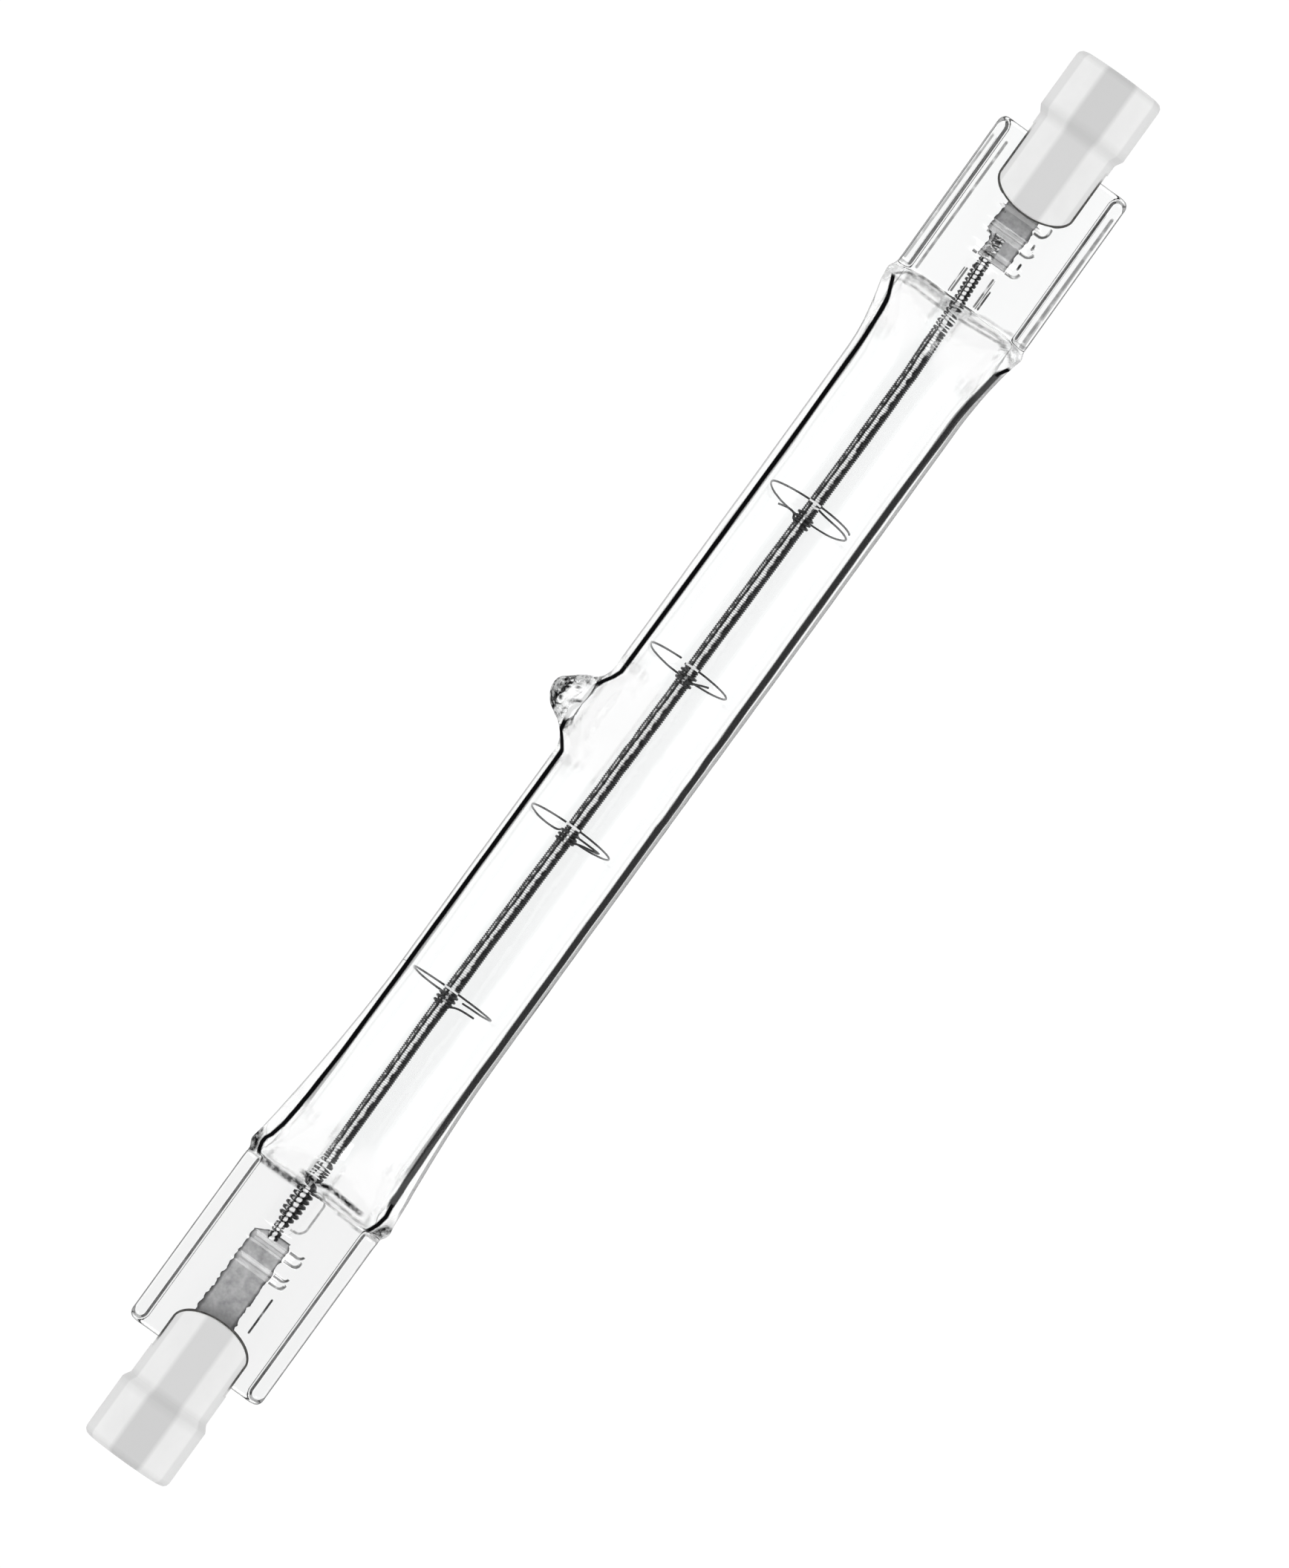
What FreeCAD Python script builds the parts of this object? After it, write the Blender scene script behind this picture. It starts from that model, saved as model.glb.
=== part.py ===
import FreeCAD, Part
import math
import os
from FreeCAD import Vector

# Double-ended linear halogen lamp, 118 mm class, lying on its quartz tube.
# Millimetres. X runs along the lamp from end a (-X) to end b (+X), Z is normal to the flat
# seals and points up, and the exhaust tip points to +Y. The origin is on the axis, midway
# between the two contacts. End a and end b differ slightly, as on the real lamp.

# Whole lamp
lamp_length = 117.6
contact_recess = 1.7

# Quartz tube
tube_od = 9.56
tube_wall = 0.82
flare_a = 1.05
flare_b = 0.88
flare_length_a = 16.0
flare_length_b = 6.5
shoulder_length = 4.2
shoulder_squareness = 1.2
shoulder_peak_share = 0.28
shoulder_steps = [0.5 * shoulder_peak_share, shoulder_peak_share, 0.5, 0.72, 1.0]
flare_steps = [0.45, 1.0]
section_points = 12

# Flat seals, pressed from the tube's two ends
seal_length_a = 14.2
seal_length_b = 12.4
seal_width = 11.0
seal_web = 1.9
rail_width = 1.05
rail_height = 3.0
rail_round = 0.3
rail_end_gap = 0.3
seal_corner = 0.6
seal_bite = 0.3
slit_height = 0.24
slit_wall = 1.15
slit_gap = 0.25

# Pressed ribs across the seals, and the ridge over the coiled leg
rib_width = 1.05
rib_length = 4.1
rib_height = 0.15
rib_round = 0.47
rib_pitch = 1.8
a_rib_count = 2
b_rib_count = 3
rib_start_a = 0.25
rib_start_b = 0.05
ridge_width = 2.0
ridge_height = 0.22
ridge_end_gap = 0.42

# Exhaust tip
tip_place = 0.48
tip_foot_radius = 3.0
tip_neck_radius = 1.95
tip_neck_rise = 1.05
tip_rise = 2.62
tip_brow_rise_share = 0.42
tip_brow_radius_share = 0.88
tip_foot_fullness = 0.45
tip_sink = 0.8
tip_hollow_foot_radius = 3.05
tip_hollow_top_radius = 1.75
tip_hollow_rise = 1.0

# Filament, drawn as the outer form of its fine coil. It lies a little to the tip's side.
coil_od = 1.1
coil_id = 0.56
leg_side_a = 0.6
leg_side_b = 0.1
leg_overlap_a = 0.6
leg_overlap_b = 2.0

# Wire supports for the coil
support_count = 4
support_pitch = 13.75
support_place = -0.5
support_loop_dia = 6.54
support_wire = 0.15
wire_sides = 4
support_hub_length = 1.0
support_bend = 0.6
support_gap_angle = 22.0
support_tilts = [4.0, 8.0, -8.0, 9.5]
support_arm_angles = [-90.0, -70.0, 80.0, 95.0]

# Seal foils and outer lead wires
foil_width = 2.9
foil_thickness = 0.05
foil_corner = 0.5
foil_start_a = 3.76
foil_start_b = 3.54
foil_end_gap = 1.5
lead_dia = 0.6
lead_overlap = 1.2

# Ceramic caps
cap_length = 11.6
head_dia = 7.0
head_length = 4.7
head_round = 0.5
rim_steps = 3
head_taper = 0.55
neck_dia = 6.36
neck_tip_dia = 6.3
tongue_round = 1.6
cheek_spare = 0.03
seal_grip_a = 3.3
seal_grip_b = 4.8
slot_gap = 0.2
slot_end_gap = 0.7
recess_dia = 4.0
lead_hole_gap = 0.15

# Cement rim and contacts
cement_rim = 0.13
contact_dia = 3.4
contact_thickness = 0.8
contact_stem_dia = 1.2
contact_stem_length = 2.0
contact_gap = 0.05

# Extra length on cutting shapes, so that each passes right through, and the distance under
# which two places count as the same
cut_spare = 1.0
same = 0.001

# Worked out from the sizes above
half_length = lamp_length / 2
tube_radius = tube_od / 2
bore_radius = tube_radius - tube_wall
shoulder_peak = shoulder_peak_share * shoulder_length
seal_root = 0.6 * shoulder_peak
web_half = seal_web / 2
slot_half = web_half + slot_gap


class End:
    """One end of the lamp. side is -1 for end a and +1 for end b."""

    def __init__(self, side, seal_length, seal_grip, flare, flare_length, leg_side, leg_overlap,
                 foil_start, rib_count, rib_start):
        self.side = side
        self.flare = flare
        self.flare_length = flare_length
        self.leg_side = leg_side
        self.leg_overlap = leg_overlap
        self.rib_count = rib_count
        self.tip = half_length
        self.tongue = half_length - cap_length
        self.seal_end = self.tongue + seal_grip
        self.seal_start = self.seal_end - seal_length
        self.foil_in = self.seal_start + foil_start
        self.foil_out = self.seal_end - foil_end_gap
        self.slot_bottom = self.seal_end + slot_end_gap
        self.contact_face = half_length - contact_recess
        self.first_rib = self.foil_in + rib_start

    def x(self, out):
        """X of a place that lies out millimetres from the middle towards this end."""
        return self.side * out

    def span(self, inner, outer, half_y, half_z, y=0.0, z=0.0):
        """A block from inner to outer, counted from the lamp's middle."""
        low = min(self.x(inner), self.x(outer))
        corner = Vector(low, y - half_y, z - half_z)
        return Part.makeBox(outer - inner, 2 * half_y, 2 * half_z, corner)

    def round_bar(self, inner, outer, radius, y=0.0, z=0.0):
        """A round bar along the lamp from inner to outer."""
        start = Vector(self.x(inner), y, z)
        return Part.makeCylinder(radius, outer - inner, start, Vector(self.side, 0, 0))

    def turned(self, outline):
        """A solid turned about the lamp's axis from (place, radius) points."""
        points = [Vector(self.x(place), radius, 0) for place, radius in outline]
        face = Part.Face(Part.makePolygon(points + points[:1]))
        return face.revolve(Vector(0, 0, 0), Vector(1, 0, 0), 360)


end_a = End(-1, seal_length_a, seal_grip_a, flare_a, flare_length_a, leg_side_a, leg_overlap_a,
            foil_start_a, a_rib_count, rib_start_a)
end_b = End(1, seal_length_b, seal_grip_b, flare_b, flare_length_b, leg_side_b, leg_overlap_b,
            foil_start_b, b_rib_count, rib_start_b)
bulb_middle = (end_b.seal_start - end_a.seal_start) / 2


def quarter_wave(distance, length):
    """0 at no distance, rising to a level 1 at length and beyond."""
    share = min(max(distance / length, 0.0), 1.0)
    return math.sin(share * math.pi / 2)


def section(x, half_y, half_z, power):
    """Closed smooth curve across the lamp: a circle where it is round, squarer above power 2."""
    if power - 2 < same and abs(half_y - half_z) < same:
        return Part.Wire(Part.makeCircle(half_y, Vector(x, 0, 0), Vector(1, 0, 0)))
    points = []
    for i in range(section_points):
        angle = 2 * math.pi * i / section_points
        c, s = math.cos(angle), math.sin(angle)
        y = half_y * math.copysign(abs(c) ** (2 / power), c)
        z = half_z * math.copysign(abs(s) ** (2 / power), s)
        points.append(Vector(x, y, z))
    curve = Part.BSplineCurve()
    shares = [i / section_points for i in range(section_points + 1)]
    curve.interpolate(Points=points, Parameters=shares, PeriodicFlag=True)
    return Part.Wire(curve.toShape())


def shoulder_power(distance):
    return 2 + shoulder_squareness * (1 - quarter_wave(distance, shoulder_length))


def shoulder_width(end, distance):
    """Half width of the tube at a distance in from the seal. It swells next to the seal."""
    share = min(max(distance - shoulder_peak, 0) / end.flare_length, 1)
    return tube_radius + end.flare * (1 - share) ** 2


def outer_section(end, distance):
    """The quartz's outside at a distance in from the seal."""
    half_z = web_half + (tube_radius - web_half) * quarter_wave(distance, shoulder_length)
    half_y = shoulder_width(end, distance)
    if distance < shoulder_peak:
        seal_half = (seal_width - seal_bite) / 2
        half_y = seal_half + (half_y - seal_half) * quarter_wave(distance, shoulder_peak)
    return section(end.x(end.seal_start - distance), half_y, half_z, shoulder_power(distance))


def inner_section(end, distance):
    """The hollow at a distance in from the seal. It closes to a slit at the seal."""
    slit_half = slit_height / 2
    rise = quarter_wave(distance - slit_gap, shoulder_length)
    half_z = slit_half + (bore_radius - slit_half) * rise
    wall = tube_wall + (slit_wall - tube_wall) * (1 - quarter_wave(distance, shoulder_length))
    half_y = shoulder_width(end, distance) - wall
    return section(end.x(end.seal_start - distance), half_y, half_z, shoulder_power(distance))


def swept_tube(make_section, first_distance, radius):
    """A solid from one seal to the other: a shoulder at each end and a round tube between."""
    shoulders = []
    for end in (end_a, end_b):
        rest = shoulder_peak + end.flare_length - shoulder_length
        distances = [first_distance]
        distances += [share * shoulder_length for share in shoulder_steps]
        distances += [shoulder_length + share * rest for share in flare_steps]
        wires = [make_section(end, distance) for distance in distances]
        shoulders.append(Part.makeLoft(wires, True, True))
    low = -end_a.seal_start + shoulder_peak + end_a.flare_length
    high = end_b.seal_start - shoulder_peak - end_b.flare_length
    tube = Part.makeCylinder(radius, high - low, Vector(low, 0, 0), Vector(1, 0, 0))
    return tube.fuse(shoulders)


def edges_along(shape, direction):
    """Straight edges of a shape that run along a direction."""
    found = []
    for edge in shape.Edges:
        if len(edge.Vertexes) == 2:
            run = edge.Vertexes[1].Point - edge.Vertexes[0].Point
            if abs(run.normalize().dot(direction)) > 0.999:
                found.append(edge)
    return found


def seal_solid(end):
    """The pressed seal: a web between two rails, with its ribs and the ridge over the leg."""
    root = end.seal_start - seal_root
    web = end.span(root, end.seal_end, seal_width / 2, web_half)
    outer_corners = [edge for edge in edges_along(web, Vector(0, 0, 1))
                     if abs(abs(edge.CenterOfMass.x) - end.seal_end) < same]
    pieces = [web.makeFillet(seal_corner, outer_corners)]
    for y in (-1, 1):
        middle = y * (seal_width - rail_width) / 2
        rail = end.span(root, end.seal_end - rail_end_gap, rail_width / 2, rail_height / 2, middle)
        rail = rail.makeFillet(rail_round, edges_along(rail, Vector(1, 0, 0)))
        pieces.append(rail)
    for i in range(end.rib_count):
        start = end.first_rib + i * rib_pitch
        rib = end.span(start, start + rib_width, rib_length / 2, web_half + rib_height)
        pieces.append(rib.makeFillet(rib_round, edges_along(rib, Vector(0, 0, 1))))
    pieces.append(end.span(root, end.foil_in - ridge_end_gap, ridge_width / 2,
                           web_half + ridge_height, end.leg_side))
    return pieces[0].fuse(pieces[1:]).removeSplitter()


tip_x = bulb_middle + tip_place


def exhaust_tip():
    """The knob of glass left where the tube was pumped out and melted shut."""
    foot = tube_radius - tip_sink
    neck = tube_radius + tip_neck_rise
    top = tube_radius + tip_rise
    brow = neck + tip_brow_rise_share * (top - neck)
    brow_radius = tip_brow_radius_share * tip_neck_radius
    cap_radius = (brow_radius ** 2 + (top - brow) ** 2) / (2 * (top - brow))
    half_angle = math.asin(brow_radius / cap_radius) / 2
    cap_middle = Vector(cap_radius * math.sin(half_angle),
                        top - cap_radius * (1 - math.cos(half_angle)), 0)
    foot_bend = tip_neck_radius + tip_foot_fullness * (tip_foot_radius - tip_neck_radius)
    foot_middle = Vector(foot_bend, (foot + neck) / 2, 0)
    corners = [Vector(tip_neck_radius, neck, 0), Vector(brow_radius, brow, 0), Vector(0, top, 0),
               Vector(0, 0, 0), Vector(tip_foot_radius, 0, 0), Vector(tip_foot_radius, foot, 0)]
    profile = [Part.makeLine(corners[0], corners[1]),
               Part.Arc(corners[1], cap_middle, corners[2]).toShape(),
               Part.makeLine(corners[2], corners[3]),
               Part.makeLine(corners[3], corners[4]),
               Part.makeLine(corners[4], corners[5]),
               Part.Arc(corners[5], foot_middle, corners[0]).toShape()]
    knob = Part.Face(Part.Wire(profile)).revolve(Vector(0, 0, 0), Vector(0, 1, 0), 360)
    knob.translate(Vector(tip_x, 0, 0))
    return knob


def tip_hollow():
    """The tube's bore rises a little into the tip."""
    foot = bore_radius - tip_sink
    height = tip_sink + tip_hollow_rise
    return Part.makeCone(tip_hollow_foot_radius, tip_hollow_top_radius, height,
                         Vector(tip_x, foot, 0), Vector(0, 1, 0))


def leg_tip(end):
    """The end of the filament, on the foil."""
    return Vector(end.x(end.foil_in + end.leg_overlap), end.leg_side, 0)


def filament_bar(radius):
    """A straight round bar from one end of the filament to the other."""
    start, run = leg_tip(end_a), leg_tip(end_b) - leg_tip(end_a)
    return Part.makeCylinder(radius, run.Length, start, run)


def filament_solid():
    """The coil's outer form as one hollow bar, with each end flat where it lies on its foil."""
    body = filament_bar(coil_od / 2).cut(filament_bar(coil_id / 2))
    return body.cut([under_foil(end) for end in (end_a, end_b)])


def under_foil(end):
    """The space under a foil's top face, which the wire welded to the foil stays out of."""
    outer = end.foil_in + end.leg_overlap + cut_spare
    return end.span(end.foil_in, outer, coil_od, coil_od / 2, end.leg_side,
                    (foil_thickness - coil_od) / 2)


def foil_solid(end):
    half = foil_width / 2
    low, high = end.leg_side - half, end.leg_side + half
    x_in, x_out = end.foil_in, end.foil_out
    outline = [(x_in, low + foil_corner), (x_in + foil_corner, low), (x_out, low),
               (x_out, high), (x_in + foil_corner, high), (x_in, high - foil_corner)]
    points = [Vector(end.x(x), y, -foil_thickness / 2) for x, y in outline]
    face = Part.Face(Part.makePolygon(points + points[:1]))
    return face.extrude(Vector(0, 0, foil_thickness))


def lead_solid(end):
    """Outer lead: it lies on the foil's end and runs out to the contact's stem."""
    inner = end.foil_out - lead_overlap
    outer = end.contact_face - contact_thickness - contact_stem_length
    bar = end.round_bar(inner, outer, lead_dia / 2)
    weld = end.span(inner - cut_spare, end.foil_out, lead_dia, lead_dia / 2, 0.0,
                    foil_thickness / 2 - lead_dia / 2)
    return bar.cut(weld)


def quartz_solid():
    outside = swept_tube(outer_section, -seal_bite, tube_radius)
    hollow = swept_tube(inner_section, slit_gap, bore_radius).fuse(tip_hollow())
    body = outside.fuse([seal_solid(end_a), seal_solid(end_b), exhaust_tip()])
    body = body.cut(hollow)
    legs = filament_bar(coil_od / 2).cut([under_foil(end) for end in (end_a, end_b)])
    body = body.cut(legs)
    for end in (end_a, end_b):
        body = body.cut([foil_solid(end), lead_solid(end)])
    return body


def support_solid(x, tilt, arm_angle):
    """Tight turns on the coil, an arm out from them and an open loop round the coil."""
    wire = support_wire / 2
    hub_outer = coil_od / 2 + support_wire
    hub = Part.makeCylinder(hub_outer, support_hub_length, Vector(-support_hub_length, 0, 0),
                            Vector(1, 0, 0))
    loop = support_loop_dia / 2
    bend = support_bend
    bend_side = bend / (loop - bend)
    bend_out = math.sqrt(1 - bend_side ** 2) * (loop - bend)
    touch = math.asin(bend_side)

    start = Vector(0, coil_od / 2 + 0.2 * support_wire, 0)

    def across(angle, radius):
        return Vector(0, radius * math.cos(angle), radius * math.sin(angle))

    centre = Vector(0, bend_out, bend)
    corner = Vector(0, bend_out, 0)
    join = across(touch, loop)
    middle = centre + (corner - centre + (join - centre)).normalize() * bend
    arm = Part.makeLine(start, corner)
    turn = Part.Arc(corner, middle, join).toShape()
    sweep = 2 * math.pi - math.radians(support_gap_angle)
    ring = Part.Arc(join, across(touch + sweep / 2, loop), across(touch + sweep, loop)).toShape()
    corners = []
    for i in range(wire_sides):
        angle = 2 * math.pi * (i + 0.5) / wire_sides
        corners.append(start + Vector(math.cos(angle), 0, math.sin(angle)) * wire)
    profile = Part.makePolygon(corners + corners[:1])
    shape = Part.Wire([arm, turn, ring]).makePipeShell([profile], True, False)
    shape.translate(Vector(-wire, 0, 0))
    shape.rotate(Vector(0, 0, 0), Vector(1, 0, 0), arm_angle)
    shape.rotate(Vector(0, 0, 0), Vector(0, 1, 0), tilt)
    shape = hub.fuse(shape)
    coil = Part.makeCylinder(coil_od / 2, support_loop_dia,
                             Vector(-support_loop_dia / 2, 0, 0), Vector(1, 0, 0))
    shape = shape.cut(coil)
    direction = (leg_tip(end_b) - leg_tip(end_a)).normalize()
    place = leg_tip(end_a) + direction * ((x - leg_tip(end_a).x) / direction.x)
    turn = FreeCAD.Rotation(Vector(1, 0, 0), direction)
    shape.Placement = FreeCAD.Placement(place, turn).multiply(shape.Placement)
    return shape


def neck_radius(end, place):
    """The neck narrows from the head to the tip of the cheeks."""
    start = half_length - head_length - head_taper
    share = (start - place) / (start - end.tongue)
    return (neck_dia + (neck_tip_dia - neck_dia) * share) / 2


def cheek_half(end):
    """Half width of the cheeks' outline, a little outside where they meet the cement."""
    radius = neck_radius(end, end.tongue + tongue_round)
    return math.sqrt(radius ** 2 - slot_half ** 2) + cheek_spare


def tongue_outline(end, half_width, inner_edge, grow):
    """Outline of the cheeks seen from above: straight sides and half an ellipse at the end."""
    straight = end.tongue + tongue_round
    side = cheek_half(end) + grow
    near, far = end.x(straight), end.x(inner_edge)
    left, right = Vector(near, -side, 0), Vector(near, side, 0)
    nose = Vector(end.x(end.tongue - grow), 0, 0)
    nose_curve = Part.ArcOfEllipse(Part.Ellipse(right, nose, Vector(near, 0, 0)), 0, math.pi)
    corners = [right, Vector(near, half_width, 0), Vector(far, half_width, 0),
               Vector(far, -half_width, 0), Vector(near, -half_width, 0), left]
    path = []
    for first, last in zip(corners, corners[1:]):
        if (last - first).Length > same:
            path.append(Part.makeLine(first, last))
    face = Part.Face(Part.Wire([nose_curve.toShape()] + path))
    face.translate(Vector(0, 0, -head_dia))
    return face.extrude(Vector(0, 0, 2 * head_dia))


def cap_solid(end):
    radius = head_dia / 2
    tip = end.tip
    taper_start = tip - head_length
    taper_end = taper_start - head_taper
    outline = [(end.tongue, 0), (end.tongue, neck_tip_dia / 2), (taper_end, neck_dia / 2),
               (taper_start, radius)]
    for i in range(rim_steps + 1):
        turn = i / rim_steps * math.pi / 2
        place = tip - head_round * (1 - math.sin(turn))
        outline.append((place, radius - head_round * (1 - math.cos(turn))))
    outline.append((tip, 0))
    body = end.turned(outline).common(tongue_outline(end, head_dia, tip + cut_spare, 0.0))
    slot = end.span(end.tongue - cut_spare, end.slot_bottom, head_dia, slot_half)
    stem_end = end.contact_face - contact_thickness - contact_stem_length
    holes = [slot,
             end.round_bar(end.contact_face, tip + cut_spare, recess_dia / 2),
             end.round_bar(end.contact_face - contact_thickness, tip, contact_dia / 2 + contact_gap),
             end.round_bar(stem_end, tip, contact_stem_dia / 2 + contact_gap),
             end.round_bar(end.slot_bottom - cut_spare, tip, lead_dia / 2 + lead_hole_gap)]
    return body.cut(holes)


def cement_solid(end, quartz):
    """Cement between the cheeks and the seal, with a thin rim that shows round the cheeks."""
    slab = end.span(end.tongue - cut_spare, end.slot_bottom, head_dia, slot_half)
    side = cheek_half(end) + cement_rim
    slab = slab.common(tongue_outline(end, side, end.slot_bottom, cement_rim))
    return slab.cut([quartz, lead_solid(end), foil_solid(end)])


def contact_solid(end):
    face = end.contact_face
    button = end.round_bar(face - contact_thickness, face, contact_dia / 2)
    stem = end.round_bar(face - contact_thickness - contact_stem_length, face, contact_stem_dia / 2)
    return button.fuse(stem).removeSplitter()


def save(name, shape):
    solids = shape.Solids
    if len(solids) != 1 or not shape.isValid():
        print("check", name, "solids", len(solids), "valid", shape.isValid())
    solids[0].exportStep("parts/" + name + ".step")


os.makedirs("parts", exist_ok=True)
quartz = quartz_solid()
save("quartz_envelope", quartz)
save("filament", filament_solid())
for i in range(support_count):
    place = bulb_middle + support_place + (i - (support_count - 1) / 2) * support_pitch
    tilt = support_tilts[i % len(support_tilts)]
    arm = support_arm_angles[i % len(support_arm_angles)]
    save("filament_support_%d" % (i + 1), support_solid(place, tilt, arm))
for letter, end in (("a", end_a), ("b", end_b)):
    save("seal_foil_" + letter, foil_solid(end))
    save("lead_wire_" + letter, lead_solid(end))
    save("ceramic_cap_" + letter, cap_solid(end))
    save("cement_" + letter, cement_solid(end, quartz))
    save("contact_" + letter, contact_solid(end))
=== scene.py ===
from collections import namedtuple
import math

import bpy
import numpy as np
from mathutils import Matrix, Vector, noise


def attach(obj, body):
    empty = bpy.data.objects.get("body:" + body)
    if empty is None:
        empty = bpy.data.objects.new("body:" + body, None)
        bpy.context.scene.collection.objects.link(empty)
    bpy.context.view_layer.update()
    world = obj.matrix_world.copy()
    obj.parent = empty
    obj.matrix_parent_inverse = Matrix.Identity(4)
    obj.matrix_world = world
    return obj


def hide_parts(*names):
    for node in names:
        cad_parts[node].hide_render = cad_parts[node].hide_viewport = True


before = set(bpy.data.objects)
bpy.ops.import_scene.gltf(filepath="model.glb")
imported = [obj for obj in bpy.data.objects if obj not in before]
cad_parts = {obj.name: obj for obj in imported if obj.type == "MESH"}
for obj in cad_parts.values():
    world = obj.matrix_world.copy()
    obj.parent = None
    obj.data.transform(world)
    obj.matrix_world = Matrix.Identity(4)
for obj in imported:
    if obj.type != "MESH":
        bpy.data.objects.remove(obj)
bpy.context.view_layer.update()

# Lengths in this script are millimetres, as in the CAD, and turn into metres in add_mesh.
MM = 0.001

# Quartz tube and flat seals, as in the CAD
TUBE_RADIUS = 4.78
BORE_RADIUS = 3.96
TUBE_WALL = 0.82
SLIT_WALL = 1.15
SLIT_HALF = 0.12
SLIT_GAP = 0.25
SLIT_HALF_WIDTH = 4.75
BORE_MAGNIFIED = 1.077
WEB_HALF = 0.95
SHOULDER = 4.2
SHOULDER_PEAK = 0.8
SHOULDER_SQUARENESS = 1.2
SEAL_HALF = 5.5
SEAL_NECK = 5.35
RAIL_WIDTH = 1.05
RAIL_RISE = 0.55
RAIL_ROUND = 0.3
RAIL_END_GAP = 0.3
SEAL_CORNER = 0.6
SEAL_END_ROUND = 0.25
RIB_WIDTH = 0.65
RIB_HALF_LENGTH = 2.05
RIB_HEIGHT = 0.15
RIB_PITCH = 1.8
RIDGE_HALF = 1.0
RIDGE_HEIGHT = 0.22
RIDGE_END_GAP = 0.42

# Exhaust tip
TIP_X = 2.13
TIP_TOP = 7.40
TIP_REACH = 4.4
HOLLOW_REACH = 3.4

# Filament and supports
COIL_RADIUS = 0.57
COIL_WIRE = 0.079
LEG_LIFT = 0.03
LEG_TIP_A = -40.66
LEG_TIP_B = 45.14
SUPPORT_WIRE = 0.075
HUB_WIRE = 0.1
HUB_GAP = 0.08
LOOP_BEND = 0.45

# Foils
FOIL_HALF = 1.45
FOIL_HALF_THICK = 0.025

# Photograph
PHOTO_HEIGHT = 2112
PIXELS_PER_MM = 19.52
PHOTO_TURN = 54.1736
PHOTO_MIDDLE = (1.475, -1.066)

# Small departures from a straight lamp, read off the photograph along its length: where the
# quartz runs sideways, how far out the bore seems to reach, how far out the dark lines lie on
# the tip's side and on the other one, and where the filament runs
QUARTZ_RUN = [(-50.5, 0.17), (-37.0, 0.15), (-33.0, 0.0), (-27.0, -0.04), (-20.0, -0.13), (-10.0, -0.14),
              (0.0, -0.17), (12.0, -0.24), (25.0, -0.27), (34.0, -0.27), (38.0, -0.14), (52.0, -0.06)]
BORE_LINE = [(-36.0, 5.1), (-35.0, 5.0), (-34.6, 4.84), (-33.6, 4.66), (-31.5, 4.48), (-27.5, 4.35),
             (-22.8, 4.30), (-12.6, 4.28), (0.0, 4.24), (13.5, 4.18), (25.8, 4.15), (33.5, 4.2),
             (37.0, 4.6), (37.9, 4.78), (38.6, 5.0)]
DARK_UPPER = [(-36.3, 4.8), (-35.9, 5.0), (-35.4, 5.12), (-35.0, 5.08), (-34.6, 4.88), (-33.6, 4.66),
              (-31.5, 4.46), (-27.5, 4.3), (-22.8, 4.25), (-12.6, 4.2), (-1.43, 4.15), (-0.82, 4.61),
              (-0.31, 5.07), (1.13, 5.33), (2.2, 4.98), (3.38, 4.92), (4.05, 4.66), (4.71, 4.25),
              (5.33, 4.0), (13.5, 3.94), (25.8, 3.89), (33.5, 3.94), (35.5, 4.05), (37.1, 4.25),
              (37.6, 4.46), (38.37, 4.76), (38.9, 5.0)]
DARK_LOWER = [(-36.3, 4.3), (-35.9, 4.5), (-35.4, 4.7), (-34.6, 4.84), (-33.6, 4.7), (-31.5, 4.6),
              (-27.5, 4.47), (-22.8, 4.43), (-12.6, 4.43), (-2.9, 4.46), (25.8, 4.46), (33.5, 4.6),
              (37.1, 5.02), (37.86, 5.45), (38.4, 5.7)]
FILAMENT_RUN = [(-40.7, 0.69), (-32.6, 0.69), (-20.8, 0.64), (-18.7, 0.61), (-7.0, 0.38), (-4.4, 0.33),
                (6.9, 0.15), (10.4, 0.13), (25.3, -0.08), (33.5, -0.13), (37.0, 0.0), (39.6, 0.05),
                (42.7, 0.26), (45.2, 0.38)]


# An end of the lamp: side is -1 for end a and +1 for end b, ribs are where its ribs start
End = namedtuple("End", "side seal_start seal_end foil_in foil_out flare flare_length leg_side ribs")
END_A = End(-1, 36.3, 50.5, 40.06, 49.0, 1.05, 16.0, 0.6, [40.58, 40.58 + RIB_PITCH])
END_B = End(1, 39.6, 52.0, 43.14, 50.5, 0.88, 6.5, 0.1,
            [43.19, 43.19 + RIB_PITCH, 43.19 + 2 * RIB_PITCH])


def rise(value, low, high):
    """0 below low, 1 above high and a smooth step between them."""
    t = (value - low) / (high - low)
    t = np.clip(t, 0.0, 1.0) if np.ndim(t) else min(max(t, 0.0), 1.0)
    return t * t * (3 - 2 * t)


def fade(value, low, high):
    return 1 - rise(value, low, high)


def smooth_max(a, b, width):
    near = np.maximum(width - np.abs(a - b), 0.0) / width
    return np.maximum(a, b) + near * near * width / 4


def run_at(run, x):
    return np.interp(x, *zip(*run))


def quarter_wave(distance, length):
    return math.sin(min(max(distance / length, 0.0), 1.0) * math.pi / 2)


def nearest_end(x):
    """The nearer end and the distance in from its seal, negative out in the seal."""
    to_a = x + END_A.seal_start
    to_b = END_B.seal_start - x
    return (END_A, to_a) if to_a < to_b else (END_B, to_b)


def shoulder_power(distance):
    return 2 + SHOULDER_SQUARENESS * (1 - quarter_wave(distance, SHOULDER))


def shoulder_width(end, distance):
    share = min(max(distance - SHOULDER_PEAK, 0.0) / end.flare_length, 1.0)
    return TUBE_RADIUS + end.flare * (1 - share) ** 2


def noise_at(x, y, z, scale, seed=0.0):
    return noise.noise(Vector((x * scale + seed, y * scale, z * scale)))


def add_object(name, data):
    made = bpy.data.objects.new(name, data)
    bpy.context.scene.collection.objects.link(made)
    return made


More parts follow.
